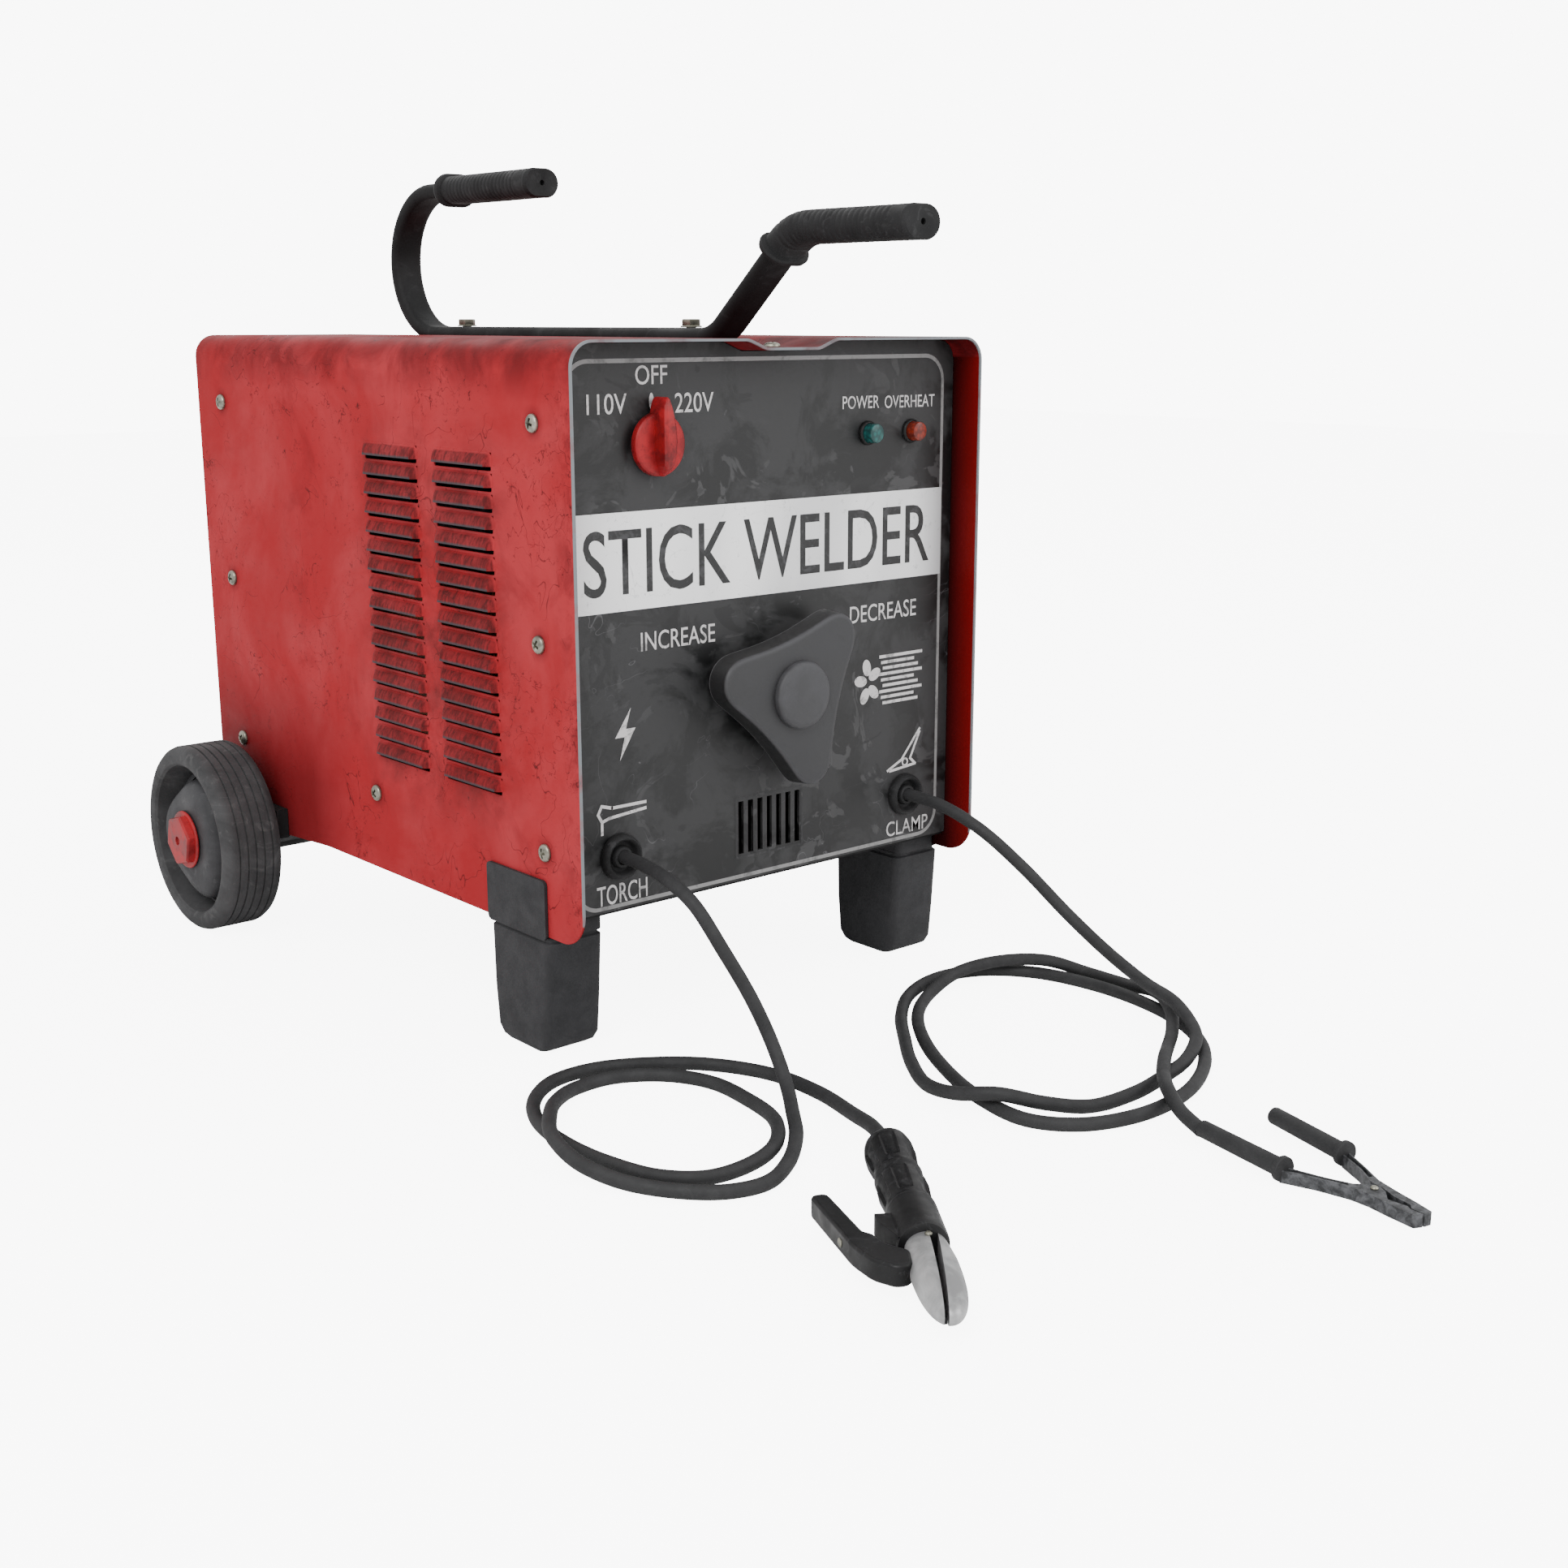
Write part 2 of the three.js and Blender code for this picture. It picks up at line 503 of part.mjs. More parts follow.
// ---------------------------------------------------------------- front controls
function makeKnob() {
  const disc = turned([[0, 21.4], [KNOB.r, 21.4], [KNOB.r, 16], [KNOB.r - 1, 15], [0, 15]].reverse(), 28);
  const pointer = polygon([
    [-4.5, -16.8], [4.5, -16.8], [5.5, 0], [4.5, 16], [2.6, 25.2], [-2.6, 25.2], [-4.5, 16], [-5.5, 0],
  ]);
  const ridge = alongY(pointer, KNOB.front, 21.4);
  const shaft = cylinder('y', 4, 21, 30, [0, 0], 12);
  return join(disc, ridge, shaft).translate(KNOB.x, 0, KNOB.z);
}
add(machine, 'selector_knob', makeKnob(), RED_PLASTIC);
const switchBlock = box([KNOB.x - 20, KNOB.x + 20], [24.4, 62], [KNOB.z - 20, KNOB.z + 20]);
const shaftBore = cylinder('y', 4.5, 20, 31, [KNOB.x, KNOB.z], 12);
add(machine, 'switch_body', cut(switchBlock, shaftBore), BLACK_PLASTIC);

function makeLamp(x) {
  const profile = [
    [0, 14.4], [4.2, 14.6], [5, 15.6], [5, 19.4], [6.2, 19.6], [6.2, 21.7], [5, 21.7], [5, 40], [0, 40],
  ];
  return turned(profile, 20).translate(x, 0, LAMPS.z);
}
add(machine, 'lamp_green', makeLamp(LAMPS.x[0]), GREEN_LENS);
add(machine, 'lamp_red', makeLamp(LAMPS.x[1]), ORANGE_LENS);

// Three-lobed outline: a deltoid-like curve grown by the tip radius, so its tips are round.
function lobedOutline(steps) {
  const { big, small, tip } = HANDWHEEL;
  const turn = (HANDWHEEL.turn * Math.PI) / 180;
  const points = [];
  for (let i = 0; i < steps; i++) {
    const t = (i / steps) * Math.PI * 2;
    const x = big * Math.cos(t) + small * Math.cos(2 * t);
    const z = big * Math.sin(t) - small * Math.sin(2 * t);
    const dx = -big * Math.sin(t) - 2 * small * Math.sin(2 * t);
    const dz = big * Math.cos(t) - 2 * small * Math.cos(2 * t);
    const length = Math.hypot(dx, dz);
    const grown = [x + (tip * dz) / length, z - (tip * dx) / length];
    points.push([
      grown[0] * Math.cos(turn) - grown[1] * Math.sin(turn),
      grown[0] * Math.sin(turn) + grown[1] * Math.cos(turn),
    ]);
  }
  return points;
}
function makeHandwheel() {
  const { front, thick, z } = HANDWHEEL;
  const plate = alongY(polygon(lobedOutline(60)), front, front + thick);
  const collar = cylinder('y', 12, front + thick - 1, 20, [0, 0], 20);
  return join(plate, collar).translate(0, 0, z);
}
add(machine, 'handwheel', makeHandwheel(), BLACK_PLASTIC);
const capSeat = HANDWHEEL.front - GAP;
const wheelCap = [[0, -10.4], [16, -10.2], [18.6, -9.2], [19.5, -7.5], [19.5, capSeat], [0, capSeat]];
add(machine, 'handwheel_cap', turned(wheelCap, 28).translate(0, 0, HANDWHEEL.z), BLACK_PLASTIC);

// Cable glands: a round-edged ring, a recess and an inner sleeve round the cable.
function makeGland(x, y, outward) {
  const hole = CABLE_R + 0.3;
  const section = [
    [hole, -10], [8.6, -10], [8.6, GAP], [13, GAP], [13, 2.6], [12, 5.2], [10.6, 6], [9.2, 5],
    [8.4, 1.6], [6.4, 1.6], [6, 4.6], [hole, 4.6],
  ];
  const ring = turned([...section, section[0]], 24);
  if (outward < 0) ring.rotateX(Math.PI);
  return ring.translate(x, y, GLAND.z);
}
add(machine, 'gland_torch', makeGland(-GLAND.x, RECESS, -1), RUBBER);
add(machine, 'gland_clamp', makeGland(GLAND.x, RECESS, -1), RUBBER);
add(machine, 'mains_gland', makeGland(-GLAND.x, DEPTH - RECESS, 1), RUBBER);

// ---------------------------------------------------------------- inside the case
const screwLine = cylinder('y', 6, 20.3, 352, [0, HANDWHEEL.z], 16);
add(machine, 'lead_screw', screwLine, STEEL);
const { window: win } = CORE;
const coreBlock = box([-CORE.x, CORE.x], CORE.y, CORE.z);
const coreWindow = box([-win.x, win.x], [180, 260], win.z);
const coreFeet = [-1, 1].map((s) =>
  box(s > 0 ? [70, 110] : [-110, -70], CORE.y, [PAN_TOP + GAP, CORE.z[0] + 1]));
add(machine, 'transformer_core', cut(join(coreBlock, ...coreFeet), coreWindow), LAMINATE);
for (const [side, s] of [['left', -1], ['right', 1]]) {
  const order = (a, b) => (s > 0 ? [a, b] : [-b, -a]);
  const winding = box(order(49, 136), [169, 271], [win.z[0] + 1, win.z[1] - 1]);
  const leg = box(order(win.x - 0.4, CORE.x + 0.4), [CORE.y[0] - 0.4, CORE.y[1] + 0.4], [-300, -90]);
  add(machine, `coil_${side}`, cut(winding, leg), COPPER);
}
const shunt = box([-46, 46], CORE.y, [win.z[0] + 2, win.z[1] - 2]);
add(machine, 'moving_core', cut(shunt, cylinder('y', 6.5, 180, 260, [0, HANDWHEEL.z], 16)), LAMINATE);

function makeFan() {
  const hub = cut(cylinder('y', 17, 358, 370, [0, 0], 20), cylinder('y', 3.4, 362, 371, [0, 0], 12));
  const blades = [];
  for (let i = 0; i < 5; i++) {
    const blade = new THREE.BoxGeometry(26, 1.6, 40).rotateZ(0.5).translate(0, 364, 32);
    blades.push(blade.rotateY((i * Math.PI * 2) / 5));
  }
  return join(hub, ...blades).translate(0, 0, FAN_Z);
}
add(machine, 'fan_blade', makeFan(), BLACK_PLASTIC);
const motor = cylinder('y', 24, 374, rearY - GAP, [0, FAN_Z], 20);
add(machine, 'fan_motor', join(motor, cylinder('y', 3, 363, 375, [0, FAN_Z], 12)), STEEL);

// ---------------------------------------------------------------- the two leads
// Routes through the middle of each cable, from inside its gland to its holder or clamp.
const TORCH_ROUTE = [
  [-110, -144, 112], [-110, -172, 112], [-112.5, -202, 109], [-112, -224, 100], [-106, -240, 78],
  [-96, -251, 52], [-90, -261, 28], [-94, -277, 11], [-107, -297, 5], [-124, -319, 4.2],
  [-148, -340, 4], [-170, -350, 4], [-190, -345, 4], [-208, -328, 4], [-222, -304, 4.8],
  [-229, -279, 8.2], [-226, -254, 12.2], [-213, -233, 12.4], [-194, -211, 8], [-172, -197, 4.6],
  [-147, -197, 4], [-124, -213, 4], [-112, -237, 4], [-112, -265, 4], [-119, -297, 4],
  [-139, -320, 4], [-163, -329, 4], [-187, -327, 4], [-204, -311, 4], [-213, -284, 4],
  [-216, -254, 4], [-212, -222, 4], [-198, -196, 4], [-175, -180, 4], [-148, -180, 4],
  [-119, -195, 4], [-96, -217, 4], [-80, -250, 4], [-78, -285, 4], [-86, -320, 5.5],
  [-98, -348, 10.5], [-110.6, -369.4, 12.3], [-117.5, -379.2, 12.3], [-127.9, -393.9, 12.3],
];
const CLAMP_ROUTE = [
  [110, -144, 112], [110, -172, 112], [111, -190, 110], [118, -215, 99], [132, -238, 77],
  [142, -264, 53], [144, -294, 36], [141, -327, 25], [138, -349, 21], [131, -366, 15.6],
  [119, -380, 12], [100, -388, 6.8], [76, -391, 4], [45, -395, 4], [15, -391, 4.2], [-7, -379, 8.4],
  [-23, -363, 12.6], [-32, -341, 8.6], [-28, -316, 4.4], [-12, -288, 4], [12, -258, 4],
  [36, -231, 4], [66, -208, 4], [100, -198, 4], [132, -207, 4], [153, -232, 4],
  [162, -266, 4], [162, -302, 4], [152, -342, 4], [133, -373, 4], [104, -397, 4],
  [66, -413, 4], [26, -415, 4], [-6, -403, 4], [-22, -381, 4], [-19, -345, 4],
  [-4, -306, 4], [18.5, -267, 4], [47, -234, 4], [78, -215, 5], [106, -210, 9.6],
  [134, -218, 12.4], [158, -236, 12], [172, -257, 6.4], [174, -288, 6], [163, -317, 12],
  [146, -341, 12.4], [125, -359, 9], [104, -372, 7.6], [82, -387, 12], [62, -402, 12.4],
  [47, -417, 12.2], [37, -433, 8.6], [31.4, -450, 5.6],
];
function makeCable(route, steps) {
  const curve = new THREE.CatmullRomCurve3(route.map((p) => new THREE.Vector3(...p)), false, 'centripetal');
  const section = new THREE.Shape();
  for (let i = 0; i < 8; i++) {
    const a = (i * Math.PI) / 4;
    const point = [CABLE_R * Math.cos(a), CABLE_R * Math.sin(a)];
    if (i === 0) section.moveTo(...point);
    else section.lineTo(...point);
  }
  return new THREE.ExtrudeGeometry(section, { steps, bevelEnabled: false, extrudePath: curve });
}
add(floorGroup, 'torch_cable', makeCable(TORCH_ROUTE, 78), RUBBER);
add(floorGroup, 'clamp_cable', makeCable(CLAMP_ROUTE, 80), RUBBER);

// ---------------------------------------------------------------- electrode holder
// Built along +X from its rear end with the lever on +Y, then turned and laid on the floor.
const holder = new THREE.Group();
holder.position.set(-111.8, -371, 12.3);
holder.rotation.set(Math.PI, 0, (Math.PI * 234.9) / 180, 'ZYX');
floorGroup.add(holder);

function makeHolderHandle() {
  const profile = [
    [4.4, 0], [8, 0], [10.5, 2], [11.8, 8], [12, 16], [11, 26], [10, 33], [10.6, 36], [12, 40],
    [12, 52], [11, 64], [10.6, 70], [11.6, 72], [11.6, 101], [10, 102], [0, 102], [0, 36], [4.4, 36],
  ];
  const body = turned([...profile, profile[0]].reverse(), 20).rotateZ(-Math.PI / 2);
  const tab = alongZ(polygon([[76, 8], [103, 8], [103, 11.6], [99, 12.4], [80, 19.6], [76, 19.6]]), -6, 6);
  return join(body, tab);
}
add(holder, 'holder_handle', makeHolderHandle(), BLACK_PLASTIC);

const jawForm = () => new THREE.SphereGeometry(1, 20, 12).scale(46, 13.5, 9.4).translate(122, 0, 0);
const PIVOT = [107.5, -1];
function makeFixedJaw() {
  const plan = polygon([
    [102.6, -9], [115, -12], [135, -12], [160, -9], [164, -0.9], [150, -2], [138, -3.4], [125, -5],
    [113, -6.6], [111, -3.5], [107.5, 2], [102.6, 2],
  ]);
  const body = common(alongZ(plan, -9.4, 9.4), jawForm());
  const room = alongZ(polygon([[102, -6], [112.4, -6], [112.4, 4], [102, 4]]), -0.2, 12);
  const pin = cylinder('z', 1.6, -3, 5.6, PIVOT, 10);
  return join(cut(body, room), pin);
}
add(holder, 'holder_jaw_fixed', makeFixedJaw(), STEEL);

function makeMovingJaw() {
  const plan = polygon([
    [164, -0.5], [164, 4], [150, 12], [125, 13], [112, 11], [108.6, 6], [105, 2], [104.6, -2],
    [106.5, -4.6], [111.8, -5.2], [125, -4.2], [138, -2.7], [150, -1.4],
  ]);
  const body = common(alongZ(plan, -9.4, 9.4), jawForm());
  const room = alongZ(polygon([[100, -8], [113, -8], [113, 3.4], [100, 6]]), -10, 0.4);
  const eye = cylinder('z', 1.9, -10, 10, PIVOT, 12);
  return cut(body, room, eye);
}
add(holder, 'holder_jaw_moving', makeMovingJaw(), STEEL);

function makeLever() {
  const plan = polygon([
    [59, 44.4], [57.6, 36.4], [98, 24.6], [108, 20.4], [113.6, 13.6], [116.4, 11.8], [126, 12.6],
    [126.4, 19], [119, 25.6], [108, 31.6],
  ].reverse());
  return cut(alongZ(plan, -5, 5), jawForm().scale(1, 1.04, 1.04));
}
add(holder, 'holder_lever', makeLever(), BLACK_PLASTIC);

// ---------------------------------------------------------------- earth clamp
const CLAMP_PIVOT = [35.3, -545.7];
const CLAMP_Z = [0.5, 7.1];
const LUG_Z = [2.7, 4.9];
const LUG_CLEAR = 8.2; // radius round the pivot that the other arm's lug needs
const SLEEVE_Z = 6.9;
const LOWER_TAIL = [[21.6, -508.6], [23.2, -495]];
const UPPER_TAIL = [[58.3, -519], [61.6, -505]];
// A round tail, from the arm into its sleeve.
function makeTail(from, to) {
  const length = Math.hypot(to[0] - from[0], to[1] - from[1]);
  const angle = Math.atan2(to[1] - from[1], to[0] - from[0]);
  const rod = new THREE.CylinderGeometry(2.2, 2.2, length, 12).rotateZ(angle - Math.PI / 2);
  return rod.translate((from[0] + to[0]) / 2, (from[1] + to[1]) / 2, SLEEVE_Z);
}

function makeClampArm(outline, lug, tail, thinLug) {
  const arm = join(alongZ(polygon(outline), ...CLAMP_Z), makeTail(...tail));
  const disc = (z0, z1, r) => cylinder('z', r, z0, z1, CLAMP_PIVOT, 20);
  const bore = disc(0, 10, 2.1);
  if (thinLug) {
    const clear = [disc(0, LUG_Z[0], LUG_CLEAR), disc(LUG_Z[1], 10, LUG_CLEAR)];
    return cut(join(cut(arm, ...clear), alongZ(polygon(lug), ...LUG_Z)), bore);
  }
  const [slotLow, slotHigh] = [LUG_Z[0] - 0.4, LUG_Z[1] + 0.4];
  const plates = [[CLAMP_Z[0], slotLow], [slotHigh, CLAMP_Z[1]]].map((z) => alongZ(polygon(lug), ...z));
  const slot = disc(slotLow, slotHigh, LUG_CLEAR);
  return cut(join(cut(arm, slot), ...plates), bore);
}
const lowerArm = [
  [18.6, -506.8], [24.2, -507.6], [28.6, -524], [32.6, -536], [33, -548], [30, -556], [30.8, -566],
  [29, -568.4], [29, -575.2], [24.5, -573], [26.4, -558], [28.2, -548], [28.4, -538], [25, -522],
];
const lowerLug = [[30, -538.8], [36, -540.6], [40, -543.6], [40.3, -547.8], [37, -551], [31, -552.4]];
const upperArm = [
  [56, -517.6], [61.6, -517.6], [53, -529.6], [45.2, -541.8], [41, -554], [37.2, -567.2], [34, -576.4],
  [29.6, -575.4], [29.6, -568.6], [32.8, -566], [35, -556], [38, -548], [40.6, -540.4], [48.6, -529.4],
];
const upperLug = [
  [43.6, -541.2], [40.2, -552.6], [36.4, -551.6], [31.4, -548.4], [30.9, -544], [34, -540.6], [39, -539.6],
];
add(floorGroup, 'clamp_arm_lower', makeClampArm(lowerArm, lowerLug, LOWER_TAIL, true), STEEL);
add(floorGroup, 'clamp_arm_upper', makeClampArm(upperArm, upperLug, UPPER_TAIL, false), STEEL);
const rivet = turned([[0, 0.2], [1.8, 0.2], [1.8, 7.4], [3, 7.4], [2.4, 8.4], [0, 8.7]], 16);
add(floorGroup, 'clamp_pin', rivet.rotateX(Math.PI / 2).translate(...CLAMP_PIVOT, 0), ZINC);

// A moulded sleeve from its rear end to its flange, on the tail of an arm.
function makeSleeve(rear, front) {
  const length = Math.hypot(front[0] - rear[0], front[1] - rear[1]);
  const profile = [
    [0, 0], [4, 0], [4.8, 1.2], [5, length - 3], [6.8, length - 2.6], [6.8, length], [3.3, length],
    [3.3, length - 14], [0, length - 14],
  ];
  const angle = Math.atan2(front[1] - rear[1], front[0] - rear[0]);
  return turned(profile, 16).rotateZ(angle - Math.PI / 2).translate(rear[0], rear[1], SLEEVE_Z);
}
add(floorGroup, 'clamp_sleeve_lower', makeSleeve([31, -451.6], [21.3, -506.2]), RUBBER);
add(floorGroup, 'clamp_sleeve_upper', makeSleeve([72.4, -464], [58.8, -515.6]), RUBBER);

export default welder;
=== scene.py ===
"""Stick welder: the looks of every visible piece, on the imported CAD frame.

Lengths are in metres. A machine point is measured from the front lip (back is +y) and from the top of
the cover (up is +z); floor pieces are measured from the floor.
"""
import math
import random

import bmesh
import bpy
from mathutils import Matrix, Vector


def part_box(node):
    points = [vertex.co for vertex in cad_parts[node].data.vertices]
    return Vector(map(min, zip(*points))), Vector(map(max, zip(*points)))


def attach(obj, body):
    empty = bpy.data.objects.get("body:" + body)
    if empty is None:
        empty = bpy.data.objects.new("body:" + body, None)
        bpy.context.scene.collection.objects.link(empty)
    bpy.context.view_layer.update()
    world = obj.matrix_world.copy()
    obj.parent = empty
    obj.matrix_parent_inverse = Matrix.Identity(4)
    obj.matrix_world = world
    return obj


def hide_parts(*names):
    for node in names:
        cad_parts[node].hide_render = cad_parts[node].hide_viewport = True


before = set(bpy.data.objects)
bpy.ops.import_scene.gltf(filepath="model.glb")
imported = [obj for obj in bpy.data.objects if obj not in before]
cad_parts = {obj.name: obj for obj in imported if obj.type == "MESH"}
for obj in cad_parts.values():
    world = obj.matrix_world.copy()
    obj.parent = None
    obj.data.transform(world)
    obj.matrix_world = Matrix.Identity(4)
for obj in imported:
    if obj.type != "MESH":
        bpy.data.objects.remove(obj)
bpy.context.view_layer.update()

# ---------------------------------------------------------------- driving dimensions
MM = 0.001
COVER_LOW, COVER_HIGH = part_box("cover")
LIP_Y = COVER_LOW[1]  # front lip of the cover
TOP_Z = COVER_HIGH[2]  # top of the cover
WIDTH = 0.300
DEPTH = COVER_HIGH[1] - COVER_LOW[1]
HEIGHT = 0.3208
SHEET = 0.0015
RECESS = 0.022  # the panel behind the lips
CORNER = 0.014
CHANNEL = {"top": 0.032, "bottom": 0.019, "depth": 0.005}
LOUVRE = {
    "rows": 17, "pitch": 0.0112, "z": -0.0668, "y": ((0.075, 0.1345), (0.152, 0.212)),
    "rise": 0.0075, "out": 0.0036,
}
SCREWS = (
    (0.0342, -0.0423), (0.0342, -0.1579), (0.0342, -0.2725), (0.2164, -0.2725),
    (0.3967, -0.0426), (0.3967, -0.1578), (0.3967, -0.2671),
)
WHEEL = {"r": 0.0625, "y": 0.3885, "in": 0.160}
KNOB = (-0.0815, -0.055)
LAMPS = (0.0766, 0.112)
HANDWHEEL_Z = -0.198
GLAND = (0.110, -0.279)
CABLE_D = 0.0076
GRIP = (0.027, 0.018)
TUBE = (0.022, 0.010)
HOLDER_AT, HOLDER_TURN = Vector((-0.1118, -0.371, 0.0123)), math.radians(234.9)

rng = random.Random(7)


def at(x, y, z):
    """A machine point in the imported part's frame."""
    return Vector((x, y + LIP_Y, z + TOP_Z))


def mm(points):
    """Points in metres, from points in millimetres."""
    return [tuple(value / 1000 for value in point) for point in points]


# ---------------------------------------------------------------- mesh helpers
def new_object(name, mesh):
    obj = bpy.data.objects.new(name, mesh)
    bpy.context.scene.collection.objects.link(obj)
    return obj


def finish_mesh(name, bm, angle=35):
    """A mesh object with outward normals, smooth where its faces meet at less than the angle."""
    bmesh.ops.remove_doubles(bm, verts=bm.verts, dist=1e-6)
    bmesh.ops.recalc_face_normals(bm, faces=bm.faces)
    mesh = bpy.data.meshes.new(name)
    bm.to_mesh(mesh)
    bm.free()
    for polygon in mesh.polygons:
        polygon.use_smooth = True
    mesh.set_sharp_from_angle(angle=math.radians(angle))
    return new_object(name, mesh)


def skin(bm, rings):
    """Faces between each ring of points and the next; the rings have equal counts."""
    for low, high in zip(rings, rings[1:]):
        for k in range(len(low)):
            n = (k + 1) % len(low)
            bm.faces.new((low[k], low[n], high[n], high[k]))


def lathe(name, profile, origin, axis, sides=64, closed=False, radius=None, angle=35):
    """A profile of (radius, height) turned round an axis; radius(r, h, turn) may shape it further."""
    axis = Vector(axis).normalized()
    side = axis.orthogonal().normalized()
    other = axis.cross(side)
    bm = bmesh.new()
    rings = []
    for r, h in profile:
        if r < 1e-7:
            rings.append([bm.verts.new(origin + axis * h)])
            continue
        ring = []
        for k in range(sides):
            turn = 2 * math.pi * k / sides
            reach = radius(r, h, turn) if radius else r
            outward = side * math.cos(turn) + other * math.sin(turn)
            ring.append(bm.verts.new(origin + axis * h + outward * reach))
        rings.append(ring)
    pairs = list(zip(rings, rings[1:]))
    if closed:
        pairs.append((rings[-1], rings[0]))
    for low, high in pairs:
        for k in range(sides):
            n = (k + 1) % sides
            corners = [low[k % len(low)], low[n % len(low)], high[n % len(high)], high[k % len(high)]]
            unique = list(dict.fromkeys(corners))
            if len(unique) > 2:
                bm.faces.new(unique)
    return finish_mesh(name, bm, angle)


def prism(name, outline, to_point, low, high):
    """An outline of (a, b) points made solid between two heights; to_point(a, b, h) places it."""
    bm = bmesh.new()
    bottom = [bm.verts.new(to_point(a, b, low)) for a, b in outline]
    top = [bm.verts.new(to_point(a, b, high)) for a, b in outline]
    bm.faces.new(bottom)
    bm.faces.new(top)
    skin(bm, [bottom, top])
    return finish_mesh(name, bm)


def sweep(name, outline, path, scale=None):
    """An outline of (x, up) points carried along (y, z) points in the plane x = 0."""
    bm = bmesh.new()
    rings = []
    for i, (y, z) in enumerate(path):
        before, after = path[max(i - 1, 0)], path[min(i + 1, len(path) - 1)]
        heading = math.atan2(after[1] - before[1], after[0] - before[0])
        grow = scale(i) if scale else 1.0
        ring = []
        for a, b in outline:
            back, up = -math.sin(heading) * b * grow, math.cos(heading) * b * grow
            ring.append(bm.verts.new(at(a * grow, y + back, z + up)))
        rings.append(ring)
    skin(bm, rings)
    bm.faces.new(rings[0])
    bm.faces.new(rings[-1])
    return finish_mesh(name, bm)


def stadium(width, height, steps):
    """Outline with round ends, its width along the first axis."""
    r = height / 2
    points = []
    for centre, start in ((width / 2 - r, -0.5), (r - width / 2, 0.5)):
        for k in range(steps + 1):
            a = math.pi * (start + k / steps)
            points.append((centre + r * math.cos(a), r * math.sin(a)))
    return points


def rounded_rect(x0, z0, x1, z1, r, steps):
    """A rectangle's outline with rounded corners."""
    points = []
    centres = ((x1 - r, z1 - r), (x0 + r, z1 - r), (x0 + r, z0 + r), (x1 - r, z0 + r))
    for start, (cx, cz) in enumerate(centres):
        for k in range(steps + 1):
            a = math.pi / 2 * (start + k / steps)
            points.append((cx + r * math.cos(a), cz + r * math.sin(a)))
    return points


def bevel(obj, width, segments, angle):
    """Rounds the edges sharper than the angle."""
    modifier = obj.modifiers.new("edges", "BEVEL")
    modifier.width = width
    modifier.segments = segments
    modifier.limit_method = "ANGLE"
    modifier.angle_limit = math.radians(angle)
    modifier.harden_normals = True
    return obj


def carve(obj, cutter):
    """Cuts the cutter out of obj and removes the cutter."""
    modifier = obj.modifiers.new("cut", "BOOLEAN")
    modifier.operation = "DIFFERENCE"
    modifier.solver = "EXACT"
    modifier.object = cutter
    graph = bpy.context.evaluated_depsgraph_get()
    mesh = bpy.data.meshes.new_from_object(obj.evaluated_get(graph))
    obj.modifiers.clear()
    obj.data = mesh
    mesh.set_sharp_from_angle(angle=math.radians(35))
    bpy.data.objects.remove(cutter)


def join_meshes(name, objects):
    """One object from several, all of them already in place."""
    bm = bmesh.new()
    for obj in objects:
        bm.from_mesh(obj.data)
        bpy.data.objects.remove(obj)
    mesh = bpy.data.meshes.new(name)
    bm.to_mesh(mesh)
    bm.free()
    for polygon in mesh.polygons:
        polygon.use_smooth = True
    mesh.set_sharp_from_angle(angle=math.radians(35))
    return new_object(name, mesh)


def place(obj, body, material, slot, *nodes):
    """Gives a piece its material and its body and hides the CAD nodes that it stands for; the slot is
    not used.
    """
    obj.data.materials.clear()
    obj.data.materials.append(material)
    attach(obj, body)
    if nodes:
        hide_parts(*nodes)
    return obj


